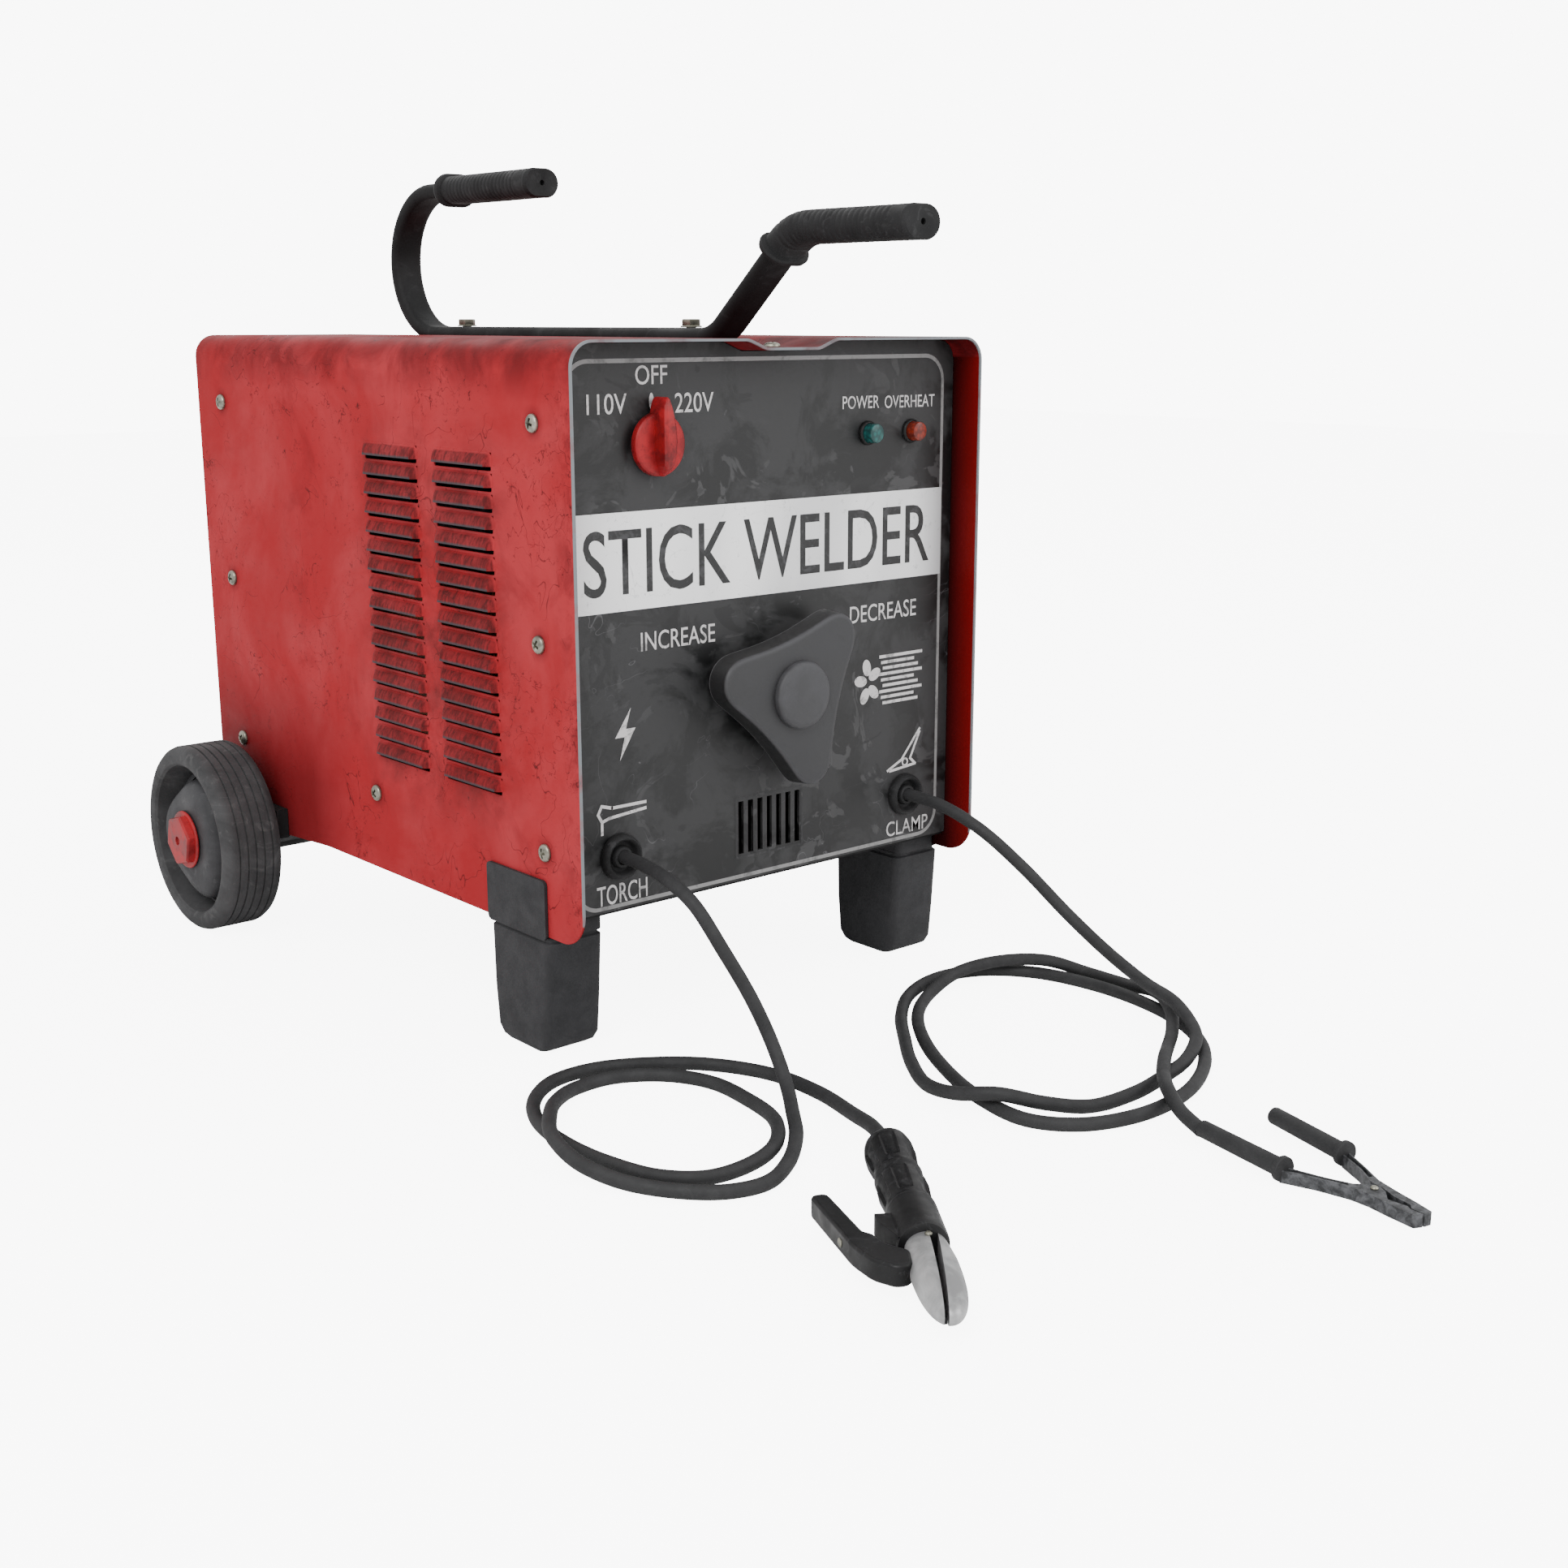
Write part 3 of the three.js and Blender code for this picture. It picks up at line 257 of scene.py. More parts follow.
# ---------------------------------------------------------------- materials
class Nodes:
    """A material's node tree, built a line at a time in object coordinates."""

    def __init__(self, name):
        self.material = bpy.data.materials.new(name)
        self.material.use_nodes = True
        self.tree = self.material.node_tree
        self.shader = self.tree.nodes["Principled BSDF"]
        self.where = self.tree.nodes.new("ShaderNodeTexCoord").outputs["Object"]

    def link(self, source, target):
        self.tree.links.new(source, target)

    def put(self, socket, value):
        if isinstance(value, bpy.types.NodeSocket):
            self.link(value, socket)
        elif isinstance(value, tuple) and len(value) == 3 and socket.type == "RGBA":
            socket.default_value = (*value, 1.0)
        else:
            socket.default_value = value

    def noise(self, scale, detail=4.0, rough=0.55, twist=0.0, stretch=None):
        node = self.tree.nodes.new("ShaderNodeTexNoise")
        where = self.where
        if stretch:
            mapping = self.tree.nodes.new("ShaderNodeMapping")
            mapping.inputs["Scale"].default_value = stretch
            self.link(where, mapping.inputs["Vector"])
            where = mapping.outputs["Vector"]
        self.link(where, node.inputs["Vector"])
        settings = {"Scale": scale, "Detail": detail, "Roughness": rough, "Distortion": twist}
        for name, value in settings.items():
            node.inputs[name].default_value = value
        return node.outputs["Fac"]

    def ramp(self, value, low, high, out_low=0.0, out_high=1.0):
        """value between low and high becomes out_low to out_high, held outside."""
        node = self.tree.nodes.new("ShaderNodeMapRange")
        node.clamp = True
        names = ("Value", "From Min", "From Max", "To Min", "To Max")
        for name, number in zip(names, (value, low, high, out_low, out_high)):
            self.put(node.inputs[name], number)
        return node.outputs["Result"]

    def math(self, operation, a, b=0.0):
        node = self.tree.nodes.new("ShaderNodeMath")
        node.operation = operation
        self.put(node.inputs[0], a)
        self.put(node.inputs[1], b)
        return node.outputs["Value"]

    def times(self, a, b):
        return self.math("MULTIPLY", a, b)

    def mix(self, amount, a, b):
        node = self.tree.nodes.new("ShaderNodeMix")
        node.data_type = "RGBA"
        self.put(node.inputs["Factor"], amount)
        self.put(node.inputs[6], a)
        self.put(node.inputs[7], b)
        return node.outputs[2]

    def tint(self, colour, mask, amount, code):
        """The colour with a hex colour over it, where the mask is, at the given strength."""
        return self.mix(self.times(mask, amount), colour, rgb(code))

    def cloud(self, low, high, *noise):
        """A noise between low and high as 0 to 1."""
        return self.ramp(self.noise(*noise), low, high)

    def axis(self, index, distance_of=None):
        """One object coordinate, or its distance from a value."""
        node = self.tree.nodes.new("ShaderNodeSeparateXYZ")
        self.link(self.where, node.inputs["Vector"])
        value = node.outputs[index]
        if distance_of is None:
            return value
        return self.math("ABSOLUTE", self.math("SUBTRACT", value, distance_of))

    def near(self, index, centre, inner, outer):
        """1 within inner of the centre along an axis, falling to 0 at outer."""
        return self.ramp(self.axis(index, centre), inner, outer, 1.0, 0.0)

    def near_point(self, first, second, inner, outer):
        """1 near a line along the third axis, 0 from outer on; first and second are (axis, place)."""
        a, b = self.axis(*first), self.axis(*second)
        square = self.math("ADD", self.times(a, a), self.times(b, b))
        return self.ramp(self.math("SQRT", square), inner, outer, 1.0, 0.0)

    def lines(self, scale, width, mask_scale, mask_from, stretch=None):
        """Thin curved scratches: where one noise crosses its middle, kept in patches by another."""
        value = self.noise(scale, 3.0, 0.5, 0.6, stretch)
        line = self.ramp(self.math("ABSOLUTE", self.math("SUBTRACT", value, 0.5)), 0.0, width, 1.0, 0.0)
        patch = self.ramp(self.noise(mask_scale, 2.0), mask_from, mask_from + 0.06)
        return self.times(line, patch)

    def close(self, colour, roughness, metallic=0.0, bump=None, strength=0.15, distance=0.0004):
        self.put(self.shader.inputs["Base Color"], colour)
        self.put(self.shader.inputs["Roughness"], roughness)
        self.put(self.shader.inputs["Metallic"], metallic)
        if bump is not None:
            node = self.tree.nodes.new("ShaderNodeBump")
            node.inputs["Strength"].default_value = strength
            node.inputs["Distance"].default_value = distance
            self.link(bump, node.inputs["Height"])
            self.link(node.outputs["Normal"], self.shader.inputs["Normal"])
        return self.material


def rgb(code):
    """Linear colour of a hex code."""
    values = [int(code[i:i + 2], 16) / 255 for i in (1, 3, 5)]
    return tuple(v / 12.92 if v <= 0.04045 else ((v + 0.055) / 1.055) ** 2.4 for v in values)


def red_paint():
    n = Nodes("red_paint")
    faded = n.cloud(0.42, 0.62, 9, 5.0, 0.6, 0.8)
    colour = n.mix(faded, rgb("#9a2328"), rgb("#a73237"))
    soot = n.cloud(0.58, 0.74, 14, 6.0, 0.65, 1.2)
    colour = n.tint(colour, soot, 0.4, "#5c0d0f")
    spots = n.cloud(0.585, 0.635, 210, 6.0, 0.8, 0.5)
    spots = n.times(spots, n.cloud(0.44, 0.58, 17, 4.0, 0.6, 0.6))
    colour = n.tint(colour, spots, 0.8, "#3c1516")
    scratch = n.math("MAXIMUM", n.lines(26, 0.0045, 12, 0.5), n.lines(60, 0.007, 17, 0.53))
    colour = n.tint(colour, scratch, 0.8, "#3a1415")
    low = LOUVRE["z"] - LOUVRE["rows"] * LOUVRE["pitch"]
    middle = TOP_Z + (LOUVRE["z"] + low) / 2
    dust = n.times(n.near(2, middle, 0.085, 0.125), n.near(1, LIP_Y + 0.143, 0.062, 0.095))
    dust = n.times(dust, n.cloud(0.4, 0.66, 34, 5.0, 0.65, 0.5))
    colour = n.tint(colour, dust, 0.62, "#53201f")
    # painted shade: behind darkens the cover's side low down round the wheel, where the wheel shades it
    behind = n.times(n.near(1, LIP_Y + 0.36, 0.06, 0.12), n.near(2, 0.05, 0.06, 0.13))
    colour = n.tint(colour, behind, 0.75, "#5a1517")
    bend = n.near(2, TOP_Z - 0.012, 0.004, 0.020)
    bend = n.times(bend, n.cloud(0.35, 0.6, 26, 5.0, 0.65, 0.6))
    colour = n.tint(colour, bend, 0.6, "#4a0f11")
    edge = n.times(n.near(1, LIP_Y, 0.004, 0.022), n.cloud(0.45, 0.62, 48, 6.0, 0.7, 0.6))
    colour = n.tint(colour, edge, 0.5, "#4a0f11")
    # painted shade with grime: the top face is darkened, most at the front and least at the back, broken
    # up by noise
    top = n.ramp(n.axis(2), TOP_Z - 0.016, TOP_Z - 0.002)
    front = n.ramp(n.axis(1), LIP_Y + 0.02, LIP_Y + 0.30, 0.9, 0.35)
    top_shade_and_grime = n.times(top, n.ramp(n.noise(22, 5.0, 0.6, 0.8), 0.3, 0.65, 0.35, 1.0))
    colour = n.tint(colour, top_shade_and_grime, front, "#300709")
    hood = n.ramp(n.axis(0, 0.0), WIDTH / 2 + 0.0004, WIDTH / 2 + 0.0012)
    dirt = n.ramp(n.noise(260, 5.0, 0.7, 0.3, (1.0, 1.6, 0.5)), 0.42, 0.62)
    dirt = n.math("ADD", n.times(dirt, 0.45), 0.38)
    colour = n.tint(colour, hood, dirt, "#3b1617")
    worn_lip = n.ramp(n.axis(0, 0.0), WIDTH / 2 + 0.00343, WIDTH / 2 + 0.00355)
    colour = n.tint(colour, worn_lip, 0.85, "#393f43")
    for y, z in SCREWS:
        ring = n.near_point((1, LIP_Y + y), (2, TOP_Z + z), 0.004, 0.0105)
        colour = n.tint(colour, ring, 0.42, "#3a1112")
    # painted shade: the inner faces of the cover darken from the front lip back towards the recessed
    # panel
    shaded_inside = n.ramp(n.axis(0, 0.0), WIDTH / 2 - 0.0009, WIDTH / 2 - 0.0006, 1.0, 0.0)
    shaded_inside = n.times(shaded_inside, n.ramp(n.axis(2), TOP_Z - 0.0125, TOP_Z - 0.0110, 1.0, 0.0))
    depth = n.ramp(n.axis(1), LIP_Y, LIP_Y + RECESS)
    colour = n.mix(shaded_inside, colour, n.mix(depth, rgb("#7a1113"), rgb("#2c0708")))
    lip = n.ramp(n.axis(1), LIP_Y + 0.0009, LIP_Y + 0.0013, 1.0, 0.0)
    colour = n.tint(colour, lip, n.ramp(n.noise(60), 0.3, 0.5, 0.55, 1.0), "#7c8084")
    rough = n.ramp(n.noise(30, 4.0), 0.3, 0.7, 0.42, 0.65)
    n.shader.inputs["Specular IOR Level"].default_value = 0.06
    bump = n.math("ADD", n.noise(400, 2.0), n.times(scratch, -1.5))
    return n.close(colour, rough, 0.0, bump, 0.12, 0.0002)


def worn(name, base, light, dark, rough, grain, strength, scale, smudge):
    """Plastic, rubber or dark paint with patches, pale smudges and a fine grain."""
    n = Nodes(name)
    patches = n.cloud(0.4, 0.62, scale, 5.0, 0.6, 1.0)
    colour = n.mix(patches, rgb(dark), rgb(base))
    smudges = n.cloud(0.56, 0.66, scale * 1.9, 6.0, 0.65, 2.0)
    colour = n.tint(colour, smudges, smudge, light)
    specks = n.cloud(0.68, 0.74, scale * 14, 3.0, 0.6)
    colour = n.tint(colour, specks, 0.4, light)
    roughness = n.ramp(n.noise(scale * 1.4), 0.35, 0.65, *rough)
    n.shader.inputs["Specular IOR Level"].default_value = 0.3
    return n.close(colour, roughness, 0.0, n.noise(grain, 3.0), strength, 0.0002)


def handwheel_plastic():
    """Grey on the front face; the side walls are painted shade, with a painted highlight and edge wear
    along their back rim and a painted shadow round the foot of the cap.
    """
    n = Nodes("handwheel_plastic")
    patches = n.cloud(0.38, 0.64, 30, 5.0, 0.6, 0.8)
    face = n.mix(patches, rgb("#323234"), rgb("#3e3e41"))
    smears = n.cloud(0.62, 0.66, 46, 4.0, 0.5, 1.5)
    face = n.tint(face, smears, 0.5, "#333335")
    # painted shade: everything behind the front face is made dark
    side = n.ramp(n.axis(1), LIP_Y - 0.0040, LIP_Y - 0.0028)
    # painted shadow: groove is only a dark band painted round the foot of the cap; no groove is cut
    # there
    groove = n.near(1, LIP_Y - 0.0056, 0.0003, 0.0007)
    colour = n.mix(side, face, rgb("#111112"))
    # painted highlight with edge wear: a pale line along the back rim of the side walls
    rim = n.near(1, LIP_Y + 0.0086, 0.0003, 0.0006)
    colour = n.tint(colour, rim, 0.6, "#6a6a6c")
    colour = n.tint(colour, groove, 0.7, "#1b1b1c")
    return n.close(colour, n.ramp(patches, 0, 1, 0.5, 0.65), 0.0, n.noise(620, 3.0), 0.25, 0.0002)


def panel_paint():
    n = Nodes("grey_panel")
    clouds = n.cloud(0.46, 0.55, 24, 8.0, 0.66, 0.5)
    colour = n.mix(clouds, rgb("#0e0e0f"), rgb("#2b2b2c"))
    smears = n.cloud(0.6, 0.63, 24, 4.0, 0.5, 3.0)
    smears = n.times(smears, n.cloud(0.42, 0.6, 7))
    colour = n.tint(colour, smears, 0.5, "#4a4a4b")
    wiped = n.ramp(n.noise(20, 4.0, 0.5, 2.4, (1.0, 1.0, 1.7)), 0.62, 0.645)
    colour = n.tint(colour, wiped, 0.55, "#19191a")
    scratch = n.lines(30, 0.003, 10, 0.53)
    colour = n.tint(colour, scratch, 0.4, "#77777a")
    return n.close(colour, n.ramp(clouds, 0, 1, 0.42, 0.62), 0.0, n.noise(420, 2.0), 0.1, 0.0002)


def printed(name, colour, wear, wear_amount, scale):
    """A printed or painted film with worn spots."""
    n = Nodes(name)
    spots = n.cloud(0.52, 0.64, scale, 5.0, 0.7, 0.5)
    mixed = n.mix(n.times(spots, wear_amount), rgb(colour), rgb(wear))
    roughness = n.ramp(n.noise(scale * 0.5), 0.3, 0.7, 0.4, 0.65)
    return n.close(mixed, roughness, 0.0, n.noise(500), 0.05)


def band_film():
    n = Nodes("silver_band")
    shade = n.ramp(n.noise(8, 3.0, 0.5, 0.8, (1.0, 1.0, 0.4)), 0.4, 0.64)
    colour = n.mix(shade, rgb("#ffffff"), rgb("#dededf"))
    specks = n.cloud(0.6, 0.68, 160, 5.0, 0.75)
    colour = n.tint(colour, specks, 0.35, "#77777a")
    # painted shade: the band darkens towards its right end
    edge = n.times(n.ramp(n.axis(0), 0.115, 0.14), 0.45)
    colour = n.mix(edge, colour, rgb("#5b5b5e"))
    scratch = n.lines(34, 0.004, 14, 0.5)
    colour = n.tint(colour, scratch, 0.4, "#8b8b8e")
    return n.close(colour, n.ramp(shade, 0, 1, 0.35, 0.5), 0.0, n.noise(300), 0.06)


def metal(name, base, dark, rough, grain=(1.0, 1.0, 1.0), scale=60, metallic=0.85):
    n = Nodes(name)
    tone = n.cloud(0.38, 0.64, scale, 5.0, 0.65, 0.6, grain)
    colour = n.mix(tone, rgb(dark), rgb(base))
    roughness = n.ramp(n.noise(scale * 2), 0.3, 0.7, *rough)
    return n.close(colour, roughness, metallic, n.noise(scale * 6, 3.0), 0.12, 0.0002)


def plastic_red():
    n = Nodes("red_plastic")
    tone = n.cloud(0.38, 0.62, 70, 5.0, 0.6, 0.6)
    colour = n.mix(tone, rgb("#721518"), rgb("#a31c22"))
    dirt = n.cloud(0.52, 0.68, 150, 4.0, 0.7)
    colour = n.tint(colour, dirt, 0.6, "#4a1214")
    n.shader.inputs["Specular IOR Level"].default_value = 0.3
    return n.close(colour, n.ramp(tone, 0, 1, 0.35, 0.5), 0.0, n.noise(600), 0.08)


def lens(name, base, dark):
    n = Nodes(name)
    facets = n.tree.nodes.new("ShaderNodeTexVoronoi")
    facets.inputs["Scale"].default_value = 380
    n.link(n.where, facets.inputs["Vector"])
    colour = n.mix(n.ramp(facets.outputs["Distance"], 0.1, 0.7), rgb(base), rgb(dark))
    roughness = n.ramp(n.noise(200), 0.3, 0.7, 0.30, 0.45)
    return n.close(colour, roughness, 0.0, facets.outputs["Distance"], 0.15)


RED = red_paint()
PANEL = panel_paint()
BLACK_PAINT = worn("black_steel", "#131314", "#2a2a2b", "#0b0b0c", (0.6, 0.8), 300, 0.08, 24, 0.4)
RUBBER = worn("black_rubber", "#1e1e1f", "#373738", "#151516", (0.6, 0.8), 500, 0.2, 40, 0.5)
CABLE = worn("cable_rubber", "#2f2f30", "#39393a", "#29292a", (0.6, 0.75), 500, 0.1, 60, 0.3)
TYRE = worn("wheel_rubber", "#424243", "#545454", "#343435", (0.7, 0.88), 420, 0.25, 30, 0.5)
PLASTIC = worn("black_plastic", "#3b3b3d", "#4e4e50", "#303032", (0.5, 0.7), 620, 0.25, 26, 0.45)
WHEEL_PLASTIC = handwheel_plastic()
FOOT_PLASTIC = worn("foot_plastic", "#2c2c2e", "#353537", "#262628", (0.6, 0.75), 800, 0.35, 60, 0.3)
DARK_PLASTIC = worn("holder_plastic", "#161617", "#333335", "#0d0d0e", (0.35, 0.55), 300, 0.1, 50, 0.7)
CAP_RED = plastic_red()
WHITE_PRINT = printed("white_print", "#c9c6c6", "#5a5a5a", 0.7, 160)
GREY_PRINT = printed("grey_print", "#858484", "#4f4f4f", 0.6, 70)
DARK_PRINT = printed("dark_print", "#1f1f20", "#4b4b4d", 0.5, 120)
BAND = band_film()
ZINC = metal("zinc", "#a9a798", "#6b6a60", (0.25, 0.45), scale=120)
STEEL = metal("steel", "#8f9194", "#54565a", (0.35, 0.55), scale=90)
JAW_STEEL = metal("jaw_steel", "#bdbdbd", "#8f8f90", (0.35, 0.5), scale=45, metallic=0.6)
CLAMP_STEEL = metal("clamp_steel", "#5c5d60", "#2c2d2f", (0.4, 0.6), scale=260, metallic=0.35)
GREEN_LENS = lens("green_lens", "#1a5c59", "#0c3837")
ORANGE_LENS = lens("orange_lens", "#86250e", "#561507")
COPPER = metal("copper_winding", "#8a4b2a", "#4f2a18", (0.4, 0.6), (1.0, 1.0, 8.0), 40, 0.4)
LAMINATE = metal("lamination", "#5c5f63", "#34363a", (0.5, 0.7), (1.0, 30.0, 1.0), 30, 0.5)

# ---------------------------------------------------------------- camera
camera_data = bpy.data.cameras.new("camera")
camera_data.lens = 44.158
camera_data.sensor_width = 36.0
camera = bpy.data.objects.new("camera", camera_data)
camera.location = (-0.71586, -0.98813, 0.40060)
camera.rotation_euler = (math.radians(90 - 13.563), 0.0, math.radians(-41.104))
bpy.context.scene.collection.objects.link(camera)
bpy.context.scene.camera = camera

# ---------------------------------------------------------------- the two leads
TORCH_ROUTE = (
    (-110, -144, 112), (-110, -172, 112), (-112.5, -202, 109), (-112, -224, 100), (-106, -240, 78),
    (-96, -251, 52), (-90, -261, 28), (-94, -277, 11), (-107, -297, 5), (-124, -319, 4.2),
    (-148, -340, 4), (-170, -350, 4), (-190, -345, 4), (-208, -328, 4), (-222, -304, 4.8),
    (-229, -279, 8.2), (-226, -254, 12.2), (-213, -233, 12.4), (-194, -211, 8), (-172, -197, 4.6),
    (-147, -197, 4), (-124, -213, 4), (-112, -237, 4), (-112, -265, 4), (-119, -297, 4),
    (-139, -320, 4), (-163, -329, 4), (-187, -327, 4), (-204, -311, 4), (-213, -284, 4),
    (-216, -254, 4), (-212, -222, 4), (-198, -196, 4), (-175, -180, 4), (-148, -180, 4),
    (-119, -195, 4), (-96, -217, 4), (-80, -250, 4), (-78, -285, 4), (-86, -320, 5.5),
    (-98, -348, 10.5), (-110.6, -369.4, 12.3), (-117.5, -379.2, 12.3), (-127.9, -393.9, 12.3),
)
CLAMP_ROUTE = (
    (110, -144, 112), (110, -172, 112), (111, -190, 110), (118, -215, 99), (132, -238, 77),
    (142, -264, 53), (144, -294, 36), (141, -327, 25), (138, -349, 21), (131, -366, 15.6),
    (119, -380, 12), (100, -388, 6.8), (76, -391, 4), (45, -395, 4), (15, -391, 4.2),
    (-7, -379, 8.4), (-23, -363, 12.6), (-32, -341, 8.6), (-28, -316, 4.4), (-12, -288, 4),
    (12, -258, 4), (36, -231, 4), (66, -208, 4), (100, -198, 4), (132, -207, 4),
    (153, -232, 4), (162, -266, 4), (162, -302, 4), (152, -342, 4), (133, -373, 4),
    (104, -397, 4), (66, -413, 4), (26, -415, 4), (-6, -403, 4), (-22, -381, 4),
    (-19, -345, 4), (-4, -306, 4), (18.5, -267, 4), (47, -234, 4), (78, -215, 5),
    (106, -210, 9.6), (134, -218, 12.4), (158, -236, 12), (172, -257, 6.4), (174, -288, 6),
    (163, -317, 12), (146, -341, 12.4), (125, -359, 9), (104, -372, 7.6), (82, -387, 12),
    (62, -402, 12.4), (47, -417, 12.2), (37, -433, 8.6), (31.4, -450, 5.6),
)


def smooth_route(route, per_span=8):
    """Centripetal Catmull-Rom points through a route given in millimetres."""
    points = [Vector(p) * MM for p in route]
    points = [points[0] * 2 - points[1], *points, points[-1] * 2 - points[-2]]
    curve = []
    for p0, p1, p2, p3 in zip(points, points[1:], points[2:], points[3:]):
        t1 = (p1 - p0).length ** 0.5
        t2 = t1 + (p2 - p1).length ** 0.5
        t3 = t2 + (p3 - p2).length ** 0.5
        for k in range(per_span):
            t = t1 + (t2 - t1) * k / per_span
            a1 = p0.lerp(p1, t / t1)
            a2 = p1.lerp(p2, (t - t1) / (t2 - t1))
            a3 = p2.lerp(p3, (t - t2) / (t3 - t2))
            b1 = a1.lerp(a2, t / t2)
            b2 = a2.lerp(a3, (t - t1) / (t3 - t1))
            curve.append(b1.lerp(b2, (t - t1) / (t2 - t1)))
    curve.append(points[-2])
    return curve


def make_cable(name, route):
    """A round cable along a route, and its length."""
    points = smooth_route(route)
    data = bpy.data.curves.new(name, "CURVE")
    data.dimensions = "3D"
    data.bevel_depth = CABLE_D / 2
    data.bevel_resolution = 5
    data.use_fill_caps = True
    spline = data.splines.new("POLY")
    spline.points.add(len(points) - 1)
    for target, p in zip(spline.points, points):
        target.co = (*p, 1.0)
    spline.use_smooth = True
    return new_object(name, data), sum((b - a).length for a, b in zip(points, points[1:]))


torch_lead, torch_length = make_cable("torch_lead", TORCH_ROUTE)
clamp_lead, clamp_length = make_cable("clamp_lead", CLAMP_ROUTE)
place(torch_lead, "case", CABLE, "black_rubber", "torch_cable")
place(clamp_lead, "case", CABLE, "black_rubber", "clamp_cable")


# ---------------------------------------------------------------- cover
def cover_outline(inset):
    """The cover's cross-section (x, z) from the left side's foot over the top to the right's."""
    half, r, centre = WIDTH / 2 - inset, CORNER - inset, WIDTH / 2 - CORNER
    arc = [math.pi / 2 * k / 10 for k in range(11)]
    left = [(-centre - r * math.cos(a), -CORNER + r * math.sin(a)) for a in arc]
    slope = inset * 0.3
    fold = 0.002
    top, bottom, depth = CHANNEL["top"] + slope, CHANNEL["bottom"] + slope, CHANNEL["depth"]
    run = (bottom - top, -depth)
    length = math.hypot(*run)
    step = (run[0] / length * fold, run[1] / length * fold)
    floor = -depth - inset
    groove = [
        (-top - fold, -inset), (-top - fold * 0.3, -inset - fold * 0.05),
        (-top - step[0], -inset + step[1]), (-bottom + step[0], floor - step[1]),
        (-bottom + fold * 0.3, floor + fold * 0.05), (-bottom + fold, floor),
    ]
    half_shape = [(-half, -HEIGHT - 0.03), *left, *groove]
    return half_shape + [(-x, z) for x, z in reversed(half_shape)]


def across(a, b, h):
    """A side outline's point (y, z), h along x."""
    return at(h, a, b)


def make_cover():
    outer, inner = cover_outline(0.0), cover_outline(SHEET)
    section = outer + inner[::-1]
    shell = prism("cover_shell", section, lambda a, b, h: at(a, h, b), 0.0, DEPTH)
    corner, lobe = 0.020, 0.014
    side = [(DEPTH + 0.02, 0.02), (DEPTH + 0.02, -HEIGHT - 0.0033)]
    axle = (WHEEL["y"], WHEEL["r"] - TOP_Z)
    for k in range(13):
        a = math.pi * (1.95 - 0.9 * k / 12)
        side.append((axle[0] + lobe * math.cos(a), axle[1] + lobe * math.sin(a)))
    side += [(0.336, -HEIGHT - 0.0033), (0.284, -HEIGHT)]
    for k in range(13):
        a = math.pi / 2 * (3 - k / 12)
        side.append((corner + corner * math.cos(a), corner - HEIGHT + corner * math.sin(a)))
    side += [(0.0, -0.001), (-0.01, 0.02), (-0.02, 0.02)]
    side += [(-0.02, -HEIGHT - 0.05), (DEPTH + 0.03, -HEIGHT - 0.05), (DEPTH + 0.03, 0.02)]
    trim = prism("trim", side, across, -WIDTH, WIDTH)
    carve(shell, trim)
    slots = []
    for sign in (-1, 1):
        for y0, y1 in LOUVRE["y"]:
            for row in range(LOUVRE["rows"]):
                z = LOUVRE["z"] - row * LOUVRE["pitch"]
                hole = rounded_rect(y0 + 0.001, z - 0.0023, y1 - 0.001, z + 0.0042, 0.0009, 2)
                face = sign * WIDTH / 2
                slots.append(prism("slot", hole, across, face - 0.004, face + 0.004))
    carve(shell, join_meshes("slots", slots))
    return bevel(shell, 0.0004, 2, 50)


place(make_cover(), "case", RED, "red_paint", "cover")


def make_louvres():
    """Pressed hoods, open at the lower edge, with ends that run back into the sheet."""
    bm = bmesh.new()
    out, rise, long_steps, steps = LOUVRE["out"], LOUVRE["rise"], 34, 5
    for sign in (-1, 1):
        for y0, y1 in LOUVRE["y"]:
            for row in range(LOUVRE["rows"]):
                z = LOUVRE["z"] - row * LOUVRE["pitch"]
                for inset in (0.0, 0.0010):
                    grid = []
                    for i in range(long_steps + 1):
                        u = i / long_steps
                        end = min(1.0, min(u, 1 - u) * (y1 - y0) / 0.0036)
                        end = math.sin(end * math.pi / 2)
                        line = []
                        for k in range(steps + 1):
                            v = k / steps
                            bulge = out * end * math.sin((1 - v) * math.pi / 2) ** 0.8 - inset
                            x = sign * (WIDTH / 2 + bulge)
                            line.append(bm.verts.new(at(x, y0 + (y1 - y0) * u, z + rise * v)))
                        grid.append(line)
                    for low, high in zip(grid, grid[1:]):
                        for k in range(steps):
                            bm.faces.new((low[k], high[k], high[k + 1], low[k + 1]))
    return finish_mesh("cover_louvres", bm, 60)


place(make_louvres(), "case", RED, "red_paint")


# ---------------------------------------------------------------- screws and bolts
def make_screw_head(name, origin, axis, spin, r=0.005, height=0.0029):
    """Pan head with a cross recess, its underside on the origin's plane."""
    profile = [(0.0, 0.0), (r, 0.0), (r, height * 0.3)]
    for k in range(1, 8):
        a = math.pi / 2 * k / 8
        profile.append((r * math.cos(a) * 0.98, height * (0.3 + 0.7 * math.sin(a))))
    profile.append((0.0, height))
    head = lathe(name, profile, origin, axis, 32)
    axis = Vector(axis)
    side = Matrix.Rotation(spin, 3, axis) @ axis.orthogonal().normalized()
    other = axis.cross(side)
    cross = []
    for a, b in ((side, other), (other, side)):
        half = [(r * 0.36, -height * 0.85), (r * 0.62, 0.0), (r * 0.62, 0.002)]
        arm = [(-half[1][0], 0.0), (-half[0][0], half[0][1]), *half, (-half[2][0], half[2][1])]
        top = origin + axis * height * 0.98

        def on_head(p, q, h, a=a, b=b):
            return top + a * p + axis * q + b * h

        cross.append(prism("arm", arm, on_head, -r * 0.15, r * 0.15))
    for piece in cross:
        carve(head, piece)
    return head


